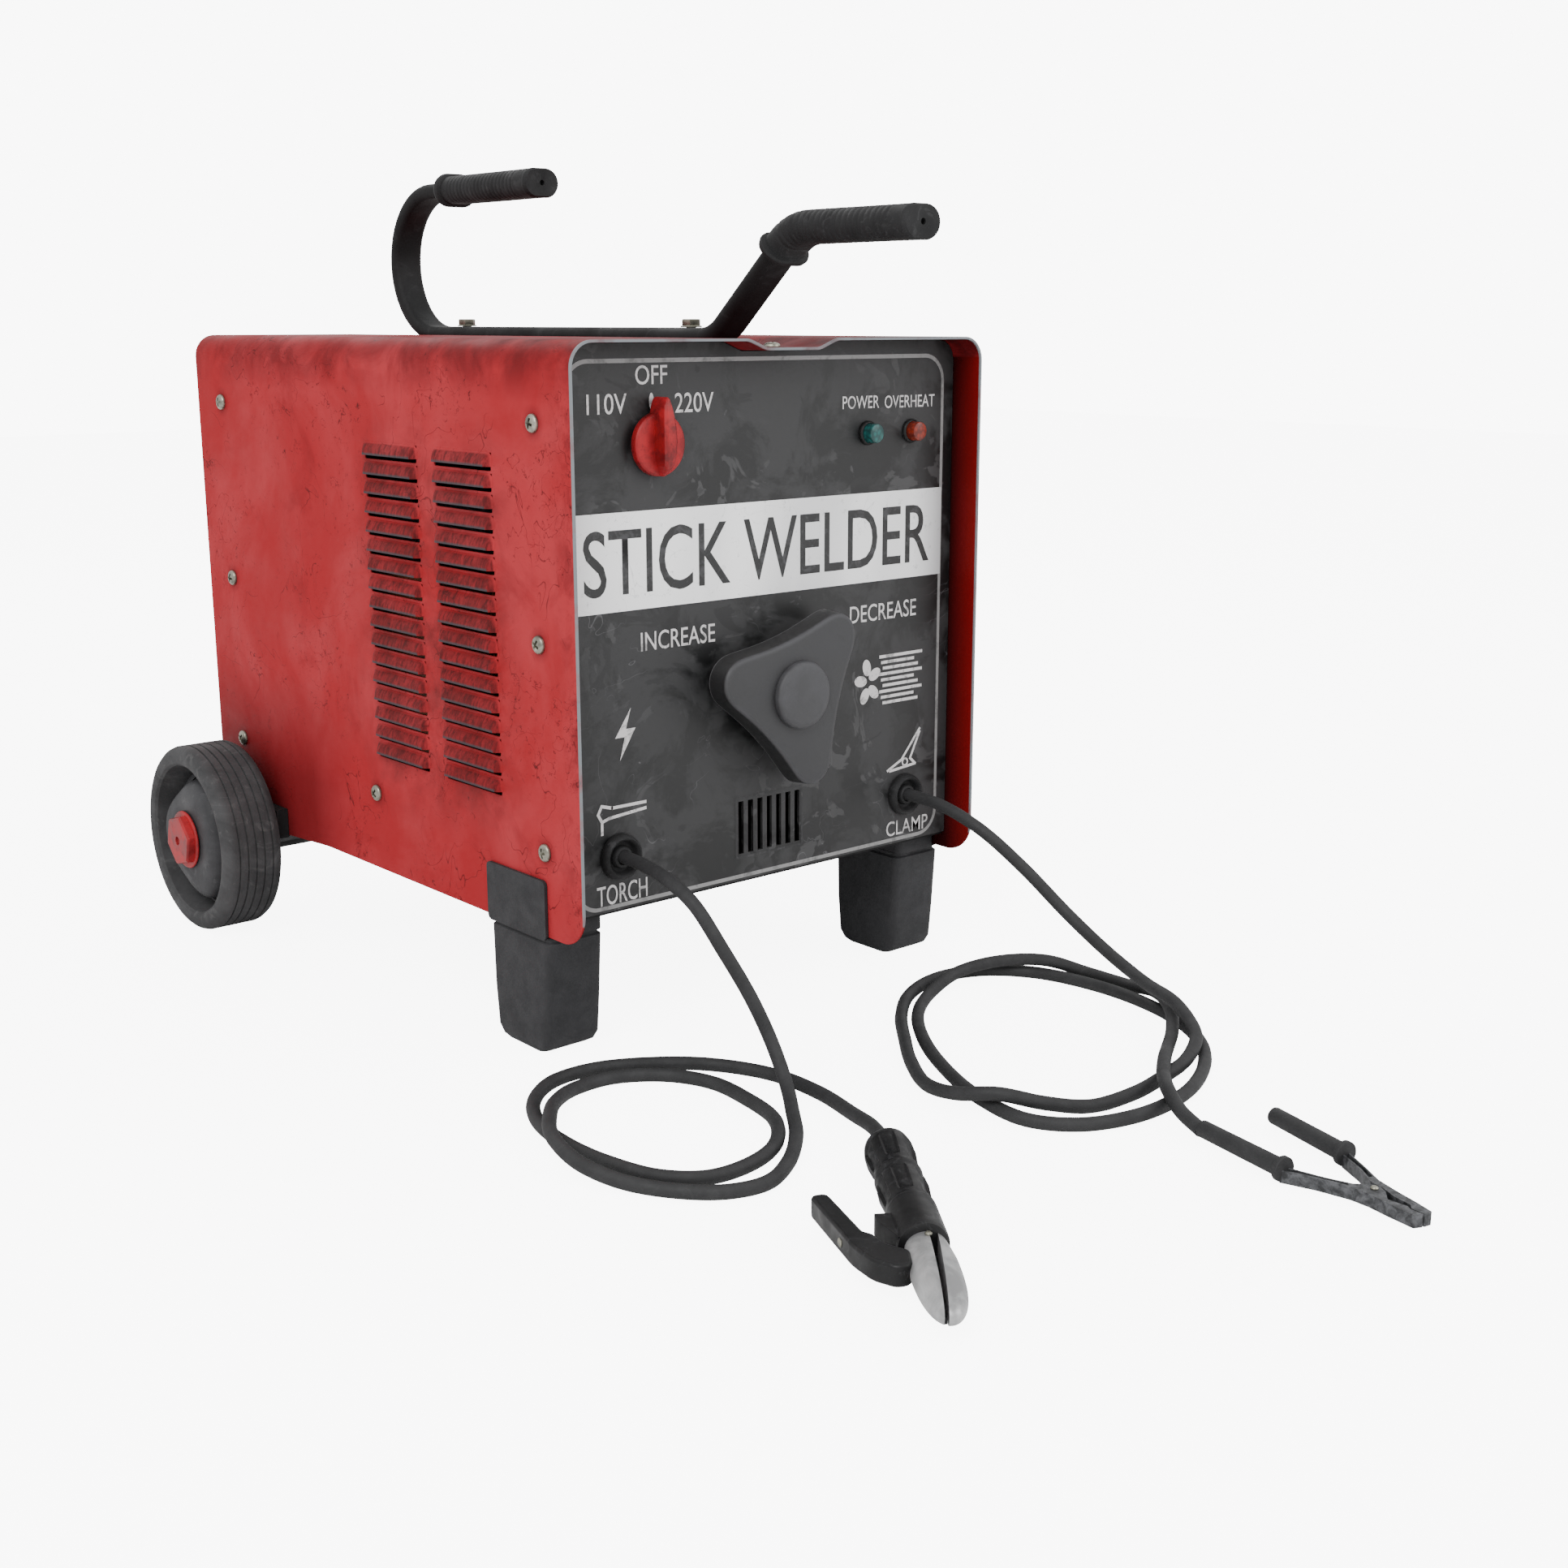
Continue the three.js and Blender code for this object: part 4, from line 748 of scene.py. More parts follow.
for side_name, sign in (("left", -1), ("right", 1)):
    for i, (y, z) in enumerate(SCREWS, 1):
        origin = at(sign * (WIDTH / 2 + 0.0002), y, z)
        head = make_screw_head(f"screw_{side_name}_{i}", origin, (sign, 0, 0), rng.uniform(0, 1.5))
        place(head, "case", ZINC, "zinc", f"side_screw_{side_name}_{i}")
seat = at(0, 0.019, -CHANNEL["depth"] + 0.0002)
top_screw = make_screw_head("channel_screw", seat, (0, 0, 1), 0.4, 0.0046, 0.0026)
place(top_screw, "case", ZINC, "zinc", "lip_screw")


def make_bolt(name, y):
    """A washer, a 10 mm hexagon and its shank."""
    seat, up = at(0, y, 0.0055), (0, 0, 1)
    ring = mm([(3.4, 0), (6.2, 0), (6.3, 0.5), (5.8, 1), (3.4, 1)])
    washer = lathe("washer", ring, seat, up, 40, True)
    flats = 10 / math.sqrt(3)
    hexagon = mm([(0, 1), (flats * 0.97, 1), (flats, 1.4), (flats, 4.2), (flats * 0.9, 4.7), (0, 4.7)])
    head = lathe("head", hexagon, seat, up, 6)
    shank = lathe("shank", mm([(0, -17.5), (3, -17.5), (3, 1.2), (0, 1.2)]), seat, up, 24)
    return join_meshes(name, [washer, head, shank])


place(make_bolt("bolt_rear", 0.334), "case", ZINC, "zinc", "handle_bolt_rear")
place(make_bolt("bolt_front", 0.091), "case", ZINC, "zinc", "handle_bolt_front")

# ---------------------------------------------------------------- carrying handle
LOOP_R, LOOP_Y, RISE, TUBE_Z = 0.0466, 0.364, 0.71, 0.0003
GRIP_TOP = TUBE_Z + 2 * LOOP_R


def corner(y, z, start, end, radius, steps=10):
    """Points of an arc that rounds the corner (y, z) between two headings."""
    side = 1 if end > start else -1
    reach = radius * math.tan(abs(end - start) / 2)
    first = (y - reach * math.cos(start), z - reach * math.sin(start))
    centre = (first[0] - side * radius * math.sin(start), first[1] + side * radius * math.cos(start))
    angles = [start + (end - start) * k / steps for k in range(steps + 1)]
    out = side * radius
    return [(centre[0] + out * math.sin(a), centre[1] - out * math.cos(a)) for a in angles]


def between(a, b, step=0.0015):
    count = max(1, int(math.hypot(b[0] - a[0], b[1] - a[1]) / step))
    return [(a[0] + (b[0] - a[0]) * k / count, a[1] + (b[1] - a[1]) * k / count) for k in range(count)]


first_bend = corner(0.0635, TUBE_Z, math.pi, math.pi - RISE, 0.030)
second_bend = corner(-0.0037, 0.058, math.pi - RISE, math.pi, 0.034)
loop = []
for k in range(25):
    a = math.pi / 2 - math.pi * k / 24
    loop.append((LOOP_Y + LOOP_R * math.cos(a), TUBE_Z + LOOP_R + LOOP_R * math.sin(a)))
tube_path = [(0.243, GRIP_TOP), *loop, *first_bend, *second_bend, (-0.095, 0.058)]
tube = sweep("handle_bar", stadium(*TUBE, 12), tube_path)
place(tube, "case", BLACK_PAINT, "black_steel", "handle_tube")


def make_grip(name, path):
    """A ribbed rubber sleeve: a flange at the start of its path and a domed end with a small hole."""
    lengths = [0.0]
    for a, b in zip(path, path[1:]):
        lengths.append(lengths[-1] + math.hypot(b[0] - a[0], b[1] - a[1]))
    total = lengths[-1]

    def swell(i):
        s, left = lengths[i], total - lengths[i]
        if s < 0.0045:
            return 1.2 - 0.06 * abs(s / 0.00225 - 1)
        if left < 0.003:
            return 0.9 + 0.1 * math.sin(left / 0.003 * math.pi / 2)
        rib = 1.0 if 0.012 < s < total - 0.012 else 0.0
        return 0.985 - 0.028 * rib * max(0.0, math.sin(s / 0.0042 * 2 * math.pi))

    grip = sweep(name, stadium(*GRIP, 12), path, swell)
    end = at(0, path[-1][0], path[-1][1])
    dimple = lathe("dimple", mm([(0, -4), (1.7, -4), (1.7, 3), (0, 3)]), end, (0, -1, 0), 20)
    carve(grip, dimple)
    return grip


rear_path = [(0.345 - 0.0007 * k, GRIP_TOP) for k in range(151)]
rise_end = second_bend[0]
rise_start = (rise_end[0] + 0.006 * math.cos(RISE), rise_end[1] - 0.006 * math.sin(RISE))
front_path = between(rise_start, rise_end, 0.0007)
for a, b in zip(second_bend, [*second_bend[1:], (-0.098, 0.058)]):
    front_path += between(a, b, 0.0007)
front_path.append((-0.098, 0.058))
place(make_grip("grip_rear", rear_path), "case", RUBBER, "black_rubber", "rear_grip")
place(make_grip("grip_front", front_path), "case", RUBBER, "black_rubber", "front_grip")

# ---------------------------------------------------------------- feet
FOOT_X, FOOT_OUT = 0.115, 0.1523


def make_foot(name, sign):
    """A moulded block under the corner, a groove round its top and a plate up the cover's side."""
    floor, top = -TOP_Z, -HEIGHT
    levels = [
        (floor, 0.0430, 0.0790, 0.0022), (floor + 0.0022, 0.0388, 0.0832, 0.0008),
        (floor + 0.0070, 0.0358, 0.0862, 0.0), (floor + 0.030, 0.0335, 0.0885, 0.0),
        (top - 0.004, 0.031, 0.0893, 0.0), (top - 0.003, 0.0325, 0.088, 0.0012),
        (top - 0.0013, 0.0325, 0.088, 0.0012), (top - 0.0006, 0.031, 0.0893, 0.0),
    ]
    bm = bmesh.new()
    rings = []
    for z, y0, y1, inset in levels:
        x0, x1, r = FOOT_X + inset, FOOT_OUT - inset, 0.0045
        ring = [bm.verts.new(at(sign * x, y, z)) for x, y in rounded_rect(x0, y0, x1, y1, r, 5)]
        rings.append(ring)
    skin(bm, rings)
    bm.faces.new(rings[0])
    bm.faces.new(rings[-1])
    block = finish_mesh("block", bm, 50)
    plate = prism("plate", rounded_rect(0.0335, -HEIGHT - 0.002, 0.0915, -0.2885, 0.003, 4),
                  across, sign * (WIDTH / 2 + 0.0003), sign * FOOT_OUT)
    collar = prism("collar", rounded_rect(FOOT_X + 0.0005, 0.0305, 0.1480, 0.0895, 0.004, 4),
                   lambda a, b, h: at(sign * a, b, h), -HEIGHT - 0.001, -0.3125)
    return bevel(join_meshes(name, [block, plate, collar]), 0.0007, 3, 50)


place(make_foot("foot_block_left", -1), "case", FOOT_PLASTIC, "black_plastic", "foot_left")
place(make_foot("foot_block_right", 1), "case", FOOT_PLASTIC, "black_plastic", "foot_right")


# ---------------------------------------------------------------- wheels
def tyre_profile():
    """Rim seat, rounded shoulder, a tread with five grooves, and a dished side face, in millimetres."""
    points = [(47, 0.8), (49, 0), (57.5, 0.5), (60.5, 1.8), (62.1, 4.5)]
    for k in range(5):
        d = 7.5 + k * 5.8
        points += [(62.5, d - 1.4), (62.5, d), (61.4, d + 0.3), (61.4, d + 1.0), (62.5, d + 1.3)]
    points += [(62.5, 34), (61.7, 36.5), (59.7, 38.6), (57.5, 39.8)]
    return points + [(53.5, 40), (51.2, 39.4), (49.8, 37.8), (49, 30), (47, 24)]


def lobed(r, h, turn):
    """Hub radius: round at the middle and at the rim, three flats in between."""
    share = max(0.0, min(1.0, (h - 0.022) / 0.004)) * (1.0 if r > 0.0245 else 0.0)
    return r * (1 + 0.10 * share * (math.cos(3 * turn + 0.6) - 0.4))


for side_name, sign in (("left", -1), ("right", 1)):
    body = f"wheel_{side_name}"
    origin = at(sign * WHEEL["in"], WHEEL["y"], WHEEL["r"] - TOP_Z)
    tyre = lathe(
        f"tyre_ring_{side_name}", mm(tyre_profile()), origin, (sign, 0, 0), 128, True, None, 28)
    place(tyre, body, TYRE, "wheel_rubber", f"tyre_{side_name}")
    hub_section = mm([
        (6.3, 2), (20, 2), (22, 8), (40, 14), (44, 6), (46.5, 6), (46.5, 24), (45.8, 26.2),
        (44.8, 26.6), (44.2, 26.2), (43.8, 24.5), (42.8, 24.5), (41.8, 25.6), (40.2, 32),
        (38.8, 35), (36, 37.2), (30, 38.4), (24, 39), (22.5, 38.8), (6.3, 38.8),
    ])
    hub = lathe(f"hub_shell_{side_name}", hub_section, origin, (sign, 0, 0), 96, True, lobed, 32)
    place(hub, body, PLASTIC, "black_plastic", f"hub_{side_name}")
    face = origin + Vector((sign * 0.0395, 0, 0))
    rim = mm([(0, 0), (19, 0), (19.5, 0.6), (19.3, 1.4), (18.4, 2), (0, 2)])
    flange = lathe("flange", rim, face, (sign, 0, 0), 48)
    hexagon = mm([(0, 1.5), (18.2, 1.5), (17.6, 5.8), (16.6, 6.8), (0, 6.8)])
    nut = lathe("nut", hexagon, face, (sign, 0, 0), 6, False, None, 20)
    eye = lathe("eye", mm([(0, 5.2), (2.6, 5.2), (3, 8), (0, 8)]), face, (sign, 0, 0), 24)
    carve(nut, eye)
    cap = bevel(join_meshes(f"cap_{side_name}", [flange, nut]), 0.0005, 2, 25)
    place(cap, body, CAP_RED, "red_plastic", f"hub_cap_{side_name}")

# ---------------------------------------------------------------- control panel
FACE = RECESS - 0.00015  # just in front of the panel


def on_panel(a, b, h=0.0):
    return at(a, FACE - h, b)


def flat_ring(name, outer, inner):
    bm = bmesh.new()
    skin(bm, [[bm.verts.new(on_panel(a, b)) for a, b in outline] for outline in (outer, inner)])
    return finish_mesh(name, bm)


border = flat_ring("panel_border", rounded_rect(-0.140, -0.3086, 0.140, -0.0100, 0.016, 10),
                   rounded_rect(-0.1377, -0.3063, 0.1377, -0.0123, 0.0137, 10))
place(border, "case", GREY_PRINT, "grey_panel")
band_outline = rounded_rect(-0.1392, -0.1432, 0.1392, -0.0900, 0.0004, 2)
band = prism("panel_band", band_outline, on_panel, 0.0001, 0.0003)
place(band, "case", BAND, "grey_panel")


def lettering(name, words, box, lift, bold=0.0, lean=0.0):
    """A word as a flat mesh that fills a box (x0, z0, x1, z1) on the panel."""
    data = bpy.data.curves.new(name, "FONT")
    data.body = words
    data.offset = bold
    data.resolution_u = 4
    obj = new_object(name, data)
    graph = bpy.context.evaluated_depsgraph_get()
    mesh = bpy.data.meshes.new_from_object(obj.evaluated_get(graph))
    bpy.data.objects.remove(obj)
    xs = [v.co.x for v in mesh.vertices]
    ys = [v.co.y for v in mesh.vertices]
    x0, z0, x1, z1 = box
    for v in mesh.vertices:
        a = (v.co.x - min(xs)) / (max(xs) - min(xs))
        b = (v.co.y - min(ys)) / (max(ys) - min(ys))
        v.co = on_panel(x0 + (x1 - x0) * a, z0 + (z1 - z0) * b + lean * a, lift)
    return new_object(name, mesh)


LABELS = (
    ("OFF", (-0.0930, -0.0237, -0.0716, -0.0136)),
    ("110V", (-0.1248, -0.0386, -0.0989, -0.0279)),
    ("220V", (-0.0667, -0.0391, -0.0399, -0.0285)),
    ("POWER", (0.0564, -0.0408, 0.0858, -0.0334)),
    ("OVERHEAT", (0.0903, -0.0412, 0.1321, -0.0338)),
    ("INCREASE", (-0.0923, -0.1665, -0.0402, -0.1560)),
    ("DECREASE", (0.0635, -0.1672, 0.1191, -0.1568)),
    ("TORCH", (-0.1254, -0.3060, -0.0907, -0.2945)),
    ("CLAMP", (0.0961, -0.3050, 0.1325, -0.2955)),
)
labels = [lettering(f"label_{words}", words, box, 0.00005, 0.004) for words, box in LABELS]
place(join_meshes("panel_labels", labels), "case", WHITE_PRINT, "grey_panel")
title = lettering("band_lettering", "STICK WELDER", (-0.1295, -0.1345, 0.1290, -0.0990), 0.0004, 0.004)
place(title, "case", DARK_PRINT, "grey_panel")


def stroke(points, width, lift=0.00006, closed=False):
    """A flat line of even width on the panel; each piece lies a hair above the last."""
    parts = []
    pairs = list(zip(points, points[1:])) + ([(points[-1], points[0])] if closed else [])
    for a, b in pairs:
        dx, dz = b[0] - a[0], b[1] - a[1]
        length = math.hypot(dx, dz) or 1.0
        ex, ez = dx / length * width / 3, dz / length * width / 3
        nx, nz = -dz / length * width / 2, dx / length * width / 2
        quad = [(a[0] - ex + nx, a[1] - ez + nz), (b[0] + ex + nx, b[1] + ez + nz),
                (b[0] + ex - nx, b[1] + ez - nz), (a[0] - ex - nx, a[1] - ez - nz)]
        parts.append(patch(quad, lift + 0.000003 * len(parts)))
    return parts


def patch(outline, lift=0.00006):
    bm = bmesh.new()
    bm.faces.new([bm.verts.new(on_panel(a, b, lift)) for a, b in outline])
    return finish_mesh("patch", bm)


def turned(x, z, angle):
    """The point (x, z) turned round the origin."""
    return x * math.cos(angle) - z * math.sin(angle), x * math.sin(angle) + z * math.cos(angle)


def blob(cx, cz, rx, rz, tilt=0.0, steps=20):
    """An ellipse's outline."""
    points = []
    for k in range(steps):
        a = 2 * math.pi * k / steps
        x, z = turned(rx * math.cos(a), rz * math.sin(a), tilt)
        points.append((cx + x, cz + z))
    return points


def make_pictograms():
    parts = []
    fan = (0.0790, -0.2045)
    for k in range(5):
        a = 2 * math.pi * k / 5 + 0.5
        petal = blob(fan[0] + 0.0062 * math.cos(a), fan[1] + 0.0092 * math.sin(a), 0.0052, 0.0034, a)
        parts.append(patch(petal, 0.00006 + 0.00001 * k))
    for k in range(9):
        z = fan[1] + 0.0145 - k * 0.0036
        parts += stroke([(0.0890 + 0.0015 * (k % 3), z), (0.1245 - 0.0035 * ((k * 2) % 3), z)], 0.0019)

    def drawn(x, z, points):
        """Points in millimetres from the mark's own origin (x, z)."""
        return [(x + a, z + b) for a, b in mm(points)]

    bolt = [(4, 14.5), (-7, -1.5), (-0.5, -1.5), (-4, -14.5), (7, 3), (0.5, 3)]
    parts.append(patch(drawn(-0.1040, -0.2110, bolt)))
    holder_lines = (
        [(10, 4), (33, 4)], [(8, -1.5), (33, 0.5)], [(10, 4), (3, 6), (0.5, 1.5), (3, -3), (8, -1.5)],
        [(3, -3), (3, -10)],
    )
    for line in holder_lines:
        parts += stroke(drawn(-0.1240, -0.2550, line), 0.0018)
    clamp_lines = (
        [(0, -4.5), (12, 1), (27.5, 19)], [(2, -5), (24, -3)], [(27.5, 17), (19.5, 1), (24, -3)],
    )
    for line in clamp_lines:
        parts += stroke(drawn(0.0965, -0.2580, line), 0.0017)
    eye = blob(0.0965 + 0.0150, -0.2580 - 0.0008, 0.0022, 0.0022, 0, 12)
    parts += stroke(eye, 0.0012, 0.00008, True)
    return join_meshes("panel_pictograms", parts)


place(make_pictograms(), "case", WHITE_PRINT, "grey_panel")
off_mark = join_meshes("off_mark", [patch(blob(KNOB[0] - 0.001, KNOB[1] + 0.0225, 0.0016, 0.0045))])
place(off_mark, "case", WHITE_PRINT, "grey_panel")
vent = flat_ring("vent_frame", rounded_rect(-0.0262, -0.2968, 0.0262, -0.2597, 0.001, 3),
                 rounded_rect(-0.0248, -0.2954, 0.0248, -0.2611, 0.0006, 3))
place(vent, "case", DARK_PRINT, "grey_panel")


def make_knob():
    """A round skirt with a tapering pointer across it."""
    centre = at(KNOB[0], RECESS, KNOB[1])
    profile = mm([(0, 2.2), (16.6, 2.2), (17, 3), (16.8, 6), (15.8, 7), (13.5, 7.4), (0, 7.4)])
    skirt = lathe("skirt", profile, centre, (0, -1, 0), 64)
    profile = mm([(0, 0.6), (15.5, 0.6), (15.5, 2.4), (0, 2.4)])
    skirt_back = lathe("back", profile, centre, (0, -1, 0), 48)
    bm = bmesh.new()
    stations = mm([
        (-16.8, 0.6, 9), (-15, 1.8, 12.6), (-11, 3.2, 15.2), (-5, 4.1, 16.6), (2, 4.4, 17),
        (9, 4.1, 16.6), (15.5, 3.4, 15.8), (20.5, 2.6, 14.8), (23.8, 1.6, 13.8), (25, 0.6, 13),
    ])
    rings = []
    for z, half, out in stations:
        right = [(half * 1.3, 0.0026), (half, out - 0.0014), (half * 0.6, out)]
        outline = [(-half * 1.3, 0.0026), *right, (-half * 0.6, out), (-half, out - 0.0014)]
        rings.append([bm.verts.new(at(KNOB[0] + a, RECESS - h, KNOB[1] + z)) for a, h in outline])
    skin(bm, rings)
    bm.faces.new(rings[0])
    bm.faces.new(rings[-1])
    pointer = finish_mesh("pointer", bm, 40)
    return bevel(join_meshes("knob", [skirt, skirt_back, pointer]), 0.0005, 2, 35)


place(make_knob(), "selector", CAP_RED, "red_plastic", "selector_knob")
for name, x, material, node in (
    ("green", LAMPS[0], GREEN_LENS, "lamp_green"),
    ("orange", LAMPS[1], ORANGE_LENS, "lamp_red"),
):
    origin = at(x, RECESS, KNOB[1])
    dome = mm([(0, 0), (5.6, 0), (5.6, 7.8), (5.3, 8.5), (4.6, 8.9), (0, 9.1)])
    glass = lathe(f"lens_{name}", dome, origin, (0, -1, 0), 40)
    place(glass, "case", material, f"{name}_lens", node)
    collar = mm([(5.7, 0.3), (7.1, 0.3), (7.1, 1.4), (6.7, 2.2), (6, 2.6), (5.7, 2.4)])
    bezel = lathe(f"bezel_{name}", collar, origin, (0, -1, 0), 48, True)
    place(bezel, "case", DARK_PLASTIC, "black_plastic")


def lobes(grow, steps=120):
    """The handwheel's outline: three round tips and hollow sides, offset outwards by grow."""
    big, small, tip, turn = 0.0315, 0.0118, 0.0137 + grow, math.radians(45)
    points = []
    for i in range(steps):
        u = 2 * math.pi * i / steps
        t = u - 0.3 * math.sin(3 * u)  # closer together at the tips
        x = big * math.cos(t) + small * math.cos(2 * t)
        z = big * math.sin(t) - small * math.sin(2 * t)
        dx = -big * math.sin(t) - 2 * small * math.sin(2 * t)
        dz = big * math.cos(t) - 2 * small * math.cos(2 * t)
        length = math.hypot(dx, dz)
        points.append(turned(x + tip * dz / length, z - tip * dx / length, turn))
    return points


def make_handwheel():
    layers = mm([
        (-6, 9), (-0.6, 9), (0, 8.4), (-0.3, 7.2), (-1, -3), (-1.4, -4.2), (-2.4, -5), (-4, -5.2),
    ])
    bm = bmesh.new()
    rings = []
    for grow, y in layers:
        rings.append([bm.verts.new(at(a, y, HANDWHEEL_Z + b)) for a, b in lobes(grow)])
    skin(bm, rings)
    for ring in (rings[0], rings[-1]):
        centre = bm.verts.new(at(0, ring[0].co.y - LIP_Y, HANDWHEEL_Z))
        for k in range(len(ring)):
            bm.faces.new((ring[k], ring[(k + 1) % len(ring)], centre))
    wheel = finish_mesh("wheel", bm, 50)
    profile = mm([(0, 0), (12.5, 0), (12, 1.2), (12, 12), (0, 12)])
    collar = lathe("collar", profile, at(0, 0.0205, HANDWHEEL_Z), (0, -1, 0), 48)
    return join_meshes("handwheel_grip", [wheel, collar])


place(make_handwheel(), "crank", WHEEL_PLASTIC, "black_plastic", "handwheel")
wheel_cap = mm([(0, 0), (19.5, 0), (19.5, 3), (19, 4.2), (17.8, 4.9), (15, 5.2), (0, 5.4)])
cap = lathe("handwheel_disc", wheel_cap, at(0, -0.0051, HANDWHEEL_Z), (0, -1, 0), 64, False, None, 45)
place(cap, "crank", WHEEL_PLASTIC, "black_plastic", "handwheel_cap")

GLAND_SECTION = mm([
    (4.1, -10), (8.6, -10), (8.6, 0.3), (12.8, 0.3), (13.2, 1.2), (13, 3.5), (12.2, 5.5), (11, 6.3),
    (10, 5.8), (9.3, 4.2), (8.8, 1.8), (8, 1.2), (6.6, 1.2), (6.2, 2), (6, 4.4), (5.4, 5), (4.2, 5),
    (4.1, 4.6),
])
for name, x, y, way, node in (
    ("torch", -GLAND[0], RECESS, -1, "gland_torch"),
    ("clamp", GLAND[0], RECESS, -1, "gland_clamp"),
    ("mains", -GLAND[0], DEPTH - RECESS, 1, "mains_gland"),
):
    centre = at(x, y, GLAND[1])
    ring = lathe(f"gland_ring_{name}", GLAND_SECTION, centre, (0, way, 0), 56, True, None, 50)
    place(ring, "case", RUBBER, "black_rubber", node)


shroud = lathe("fan_shroud", mm([(56, 0), (57.2, 0), (57.2, 50), (56, 50)]),
               at(0, 0.3573, HANDWHEEL_Z), (0, 1, 0), 64, True)
place(shroud, "case", BLACK_PAINT, "black_steel")


# ---------------------------------------------------------------- electrode holder
def on_holder(a, b, c):
    """A holder point: a along it from its rear end, b towards the lever, c up (all in metres)."""
    return HOLDER_AT + Vector((*turned(a, -b, HOLDER_TURN), c))


HOLDER_AXIS = Vector((math.cos(HOLDER_TURN), math.sin(HOLDER_TURN), 0))


def fluted(r, h, turn):
    """Six shallow flats pressed into each of the two grip segments."""
    for start, end in ((0.009, 0.029), (0.044, 0.066)):
        if start < h < end:
            depth = math.sin(math.pi * (h - start) / (end - start)) ** 0.3
            return r - 0.0017 * depth * (1 if math.cos(6 * turn) > -0.1 else 0)
    return r


def make_holder_handle():
    steps = [(0.0, 0.036)]
    knots = mm([
        (4.4, 36), (4.4, 0), (7.8, 0), (10, 1), (11.3, 3), (12, 8), (12.1, 16), (11.2, 26),
        (10.2, 31), (10, 33), (10.8, 35), (11.6, 37), (11.2, 39.5), (10.8, 41), (11.7, 45),
        (12, 52), (11.2, 63), (10.4, 69.5), (11.2, 71.5), (11.8, 72.5), (11.8, 102), (11.4, 104.2),
        (10, 105), (0, 105),
    ])
    for (r0, h0), (r1, h1) in zip(knots, knots[1:]):
        count = max(1, int(abs(h1 - h0) / 0.0015))
        steps += [(r0 + (r1 - r0) * k / count, h0 + (h1 - h0) * k / count) for k in range(count)]
    steps.append(knots[-1])
    body = lathe("grip", steps, HOLDER_AT, HOLDER_AXIS, 96, False, fluted, 32)
    guard = prism("guard", mm([(80, 6), (103, 6), (103, 11), (86, 18.2), (80, 18.2)]),
                  on_holder, -0.0050, 0.0050)
    return bevel(join_meshes("holder_body", [body, guard]), 0.0006, 2, 55)


place(make_holder_handle(), "case", DARK_PLASTIC, "black_plastic", "holder_handle")


def rounded_path(points, radius, steps=6):
    """The outline's corners rounded off."""
    smooth = []
    count = len(points)
    for i in range(count):
        p, a, b = Vector(points[i]), Vector(points[i - 1]), Vector(points[(i + 1) % count])
        r = min(radius, (a - p).length * 0.45, (b - p).length * 0.45)
        start, end = p + (a - p).normalized() * r, p + (b - p).normalized() * r
        for k in range(steps + 1):
            t = k / steps
            smooth.append(tuple(start * (1 - t) ** 2 + p * 2 * t * (1 - t) + end * t * t))
    return smooth


def make_holder_lever():
    """A bent flat bar with a screw in its side."""
    outline = mm([
        (58.8, 44.6), (57.4, 36.2), (96, 25.4), (98.5, 21.5), (108, 17.5), (112, 12), (115, 8),
        (128, 8.8), (130, 16), (122.5, 25.6), (109, 32.2),
    ])
    lever = prism("lever_bar", rounded_path(outline, 0.004), on_holder, -0.0053, 0.0053)
    screw = lathe("lever_screw", mm([(0, 0), (2.1, 0), (2.1, 0.5), (1.4, 0.9), (0, 1)]),
                  on_holder(0.0960, 0.0352, 0.0), on_holder(0.245, 0.97, 0.0) - HOLDER_AT, 24)
    place(screw, "lever", ZINC, "zinc")
    return bevel(lever, 0.0016, 3, 45)


place(make_holder_lever(), "lever", DARK_PLASTIC, "black_plastic", "holder_lever")


def make_jaw(name, keep_low):
    """One half of the egg-shaped head, cut along the electrode slot."""
    bm = bmesh.new()
    bmesh.ops.create_uvsphere(bm, u_segments=64, v_segments=40, radius=1.0)
    for v in bm.verts:
        x, y, z = v.co.z, v.co.x, v.co.y
        ring = math.hypot(y, z) or 1.0
        blunt = (1.0 - abs(x) ** 2.8) ** 0.46 / ring * (1.0 if x > 0 else 1.0 + 0.28 * x)
        v.co = Vector((0.122 + 0.0450 * x, -0.0007 + 0.0110 * y * blunt, 0.0092 * z * blunt))
    cuts = [(Vector((0.1045, 0, 0)), Vector((-1, 0, 0)))]
    if keep_low:
        cuts.append((Vector((0.112, -0.0050, 0)), Vector((-0.0055, 0.052, 0))))
    else:
        cuts.append((Vector((0.112, -0.0012, 0)), Vector((0.0036, -0.052, 0))))
    for point, normal in cuts:
        geometry = bm.verts[:] + bm.edges[:] + bm.faces[:]
        result = bmesh.ops.bisect_plane(
            bm, geom=geometry, plane_co=point, plane_no=normal, clear_outer=True)
        edges = [e for e in result["geom_cut"] if isinstance(e, bmesh.types.BMEdge)]
        bmesh.ops.edgeloop_fill(bm, edges=edges)
    for v in bm.verts:
        v.co = on_holder(*v.co)
    return bevel(finish_mesh(name, bm, 40), 0.0007, 3, 50)


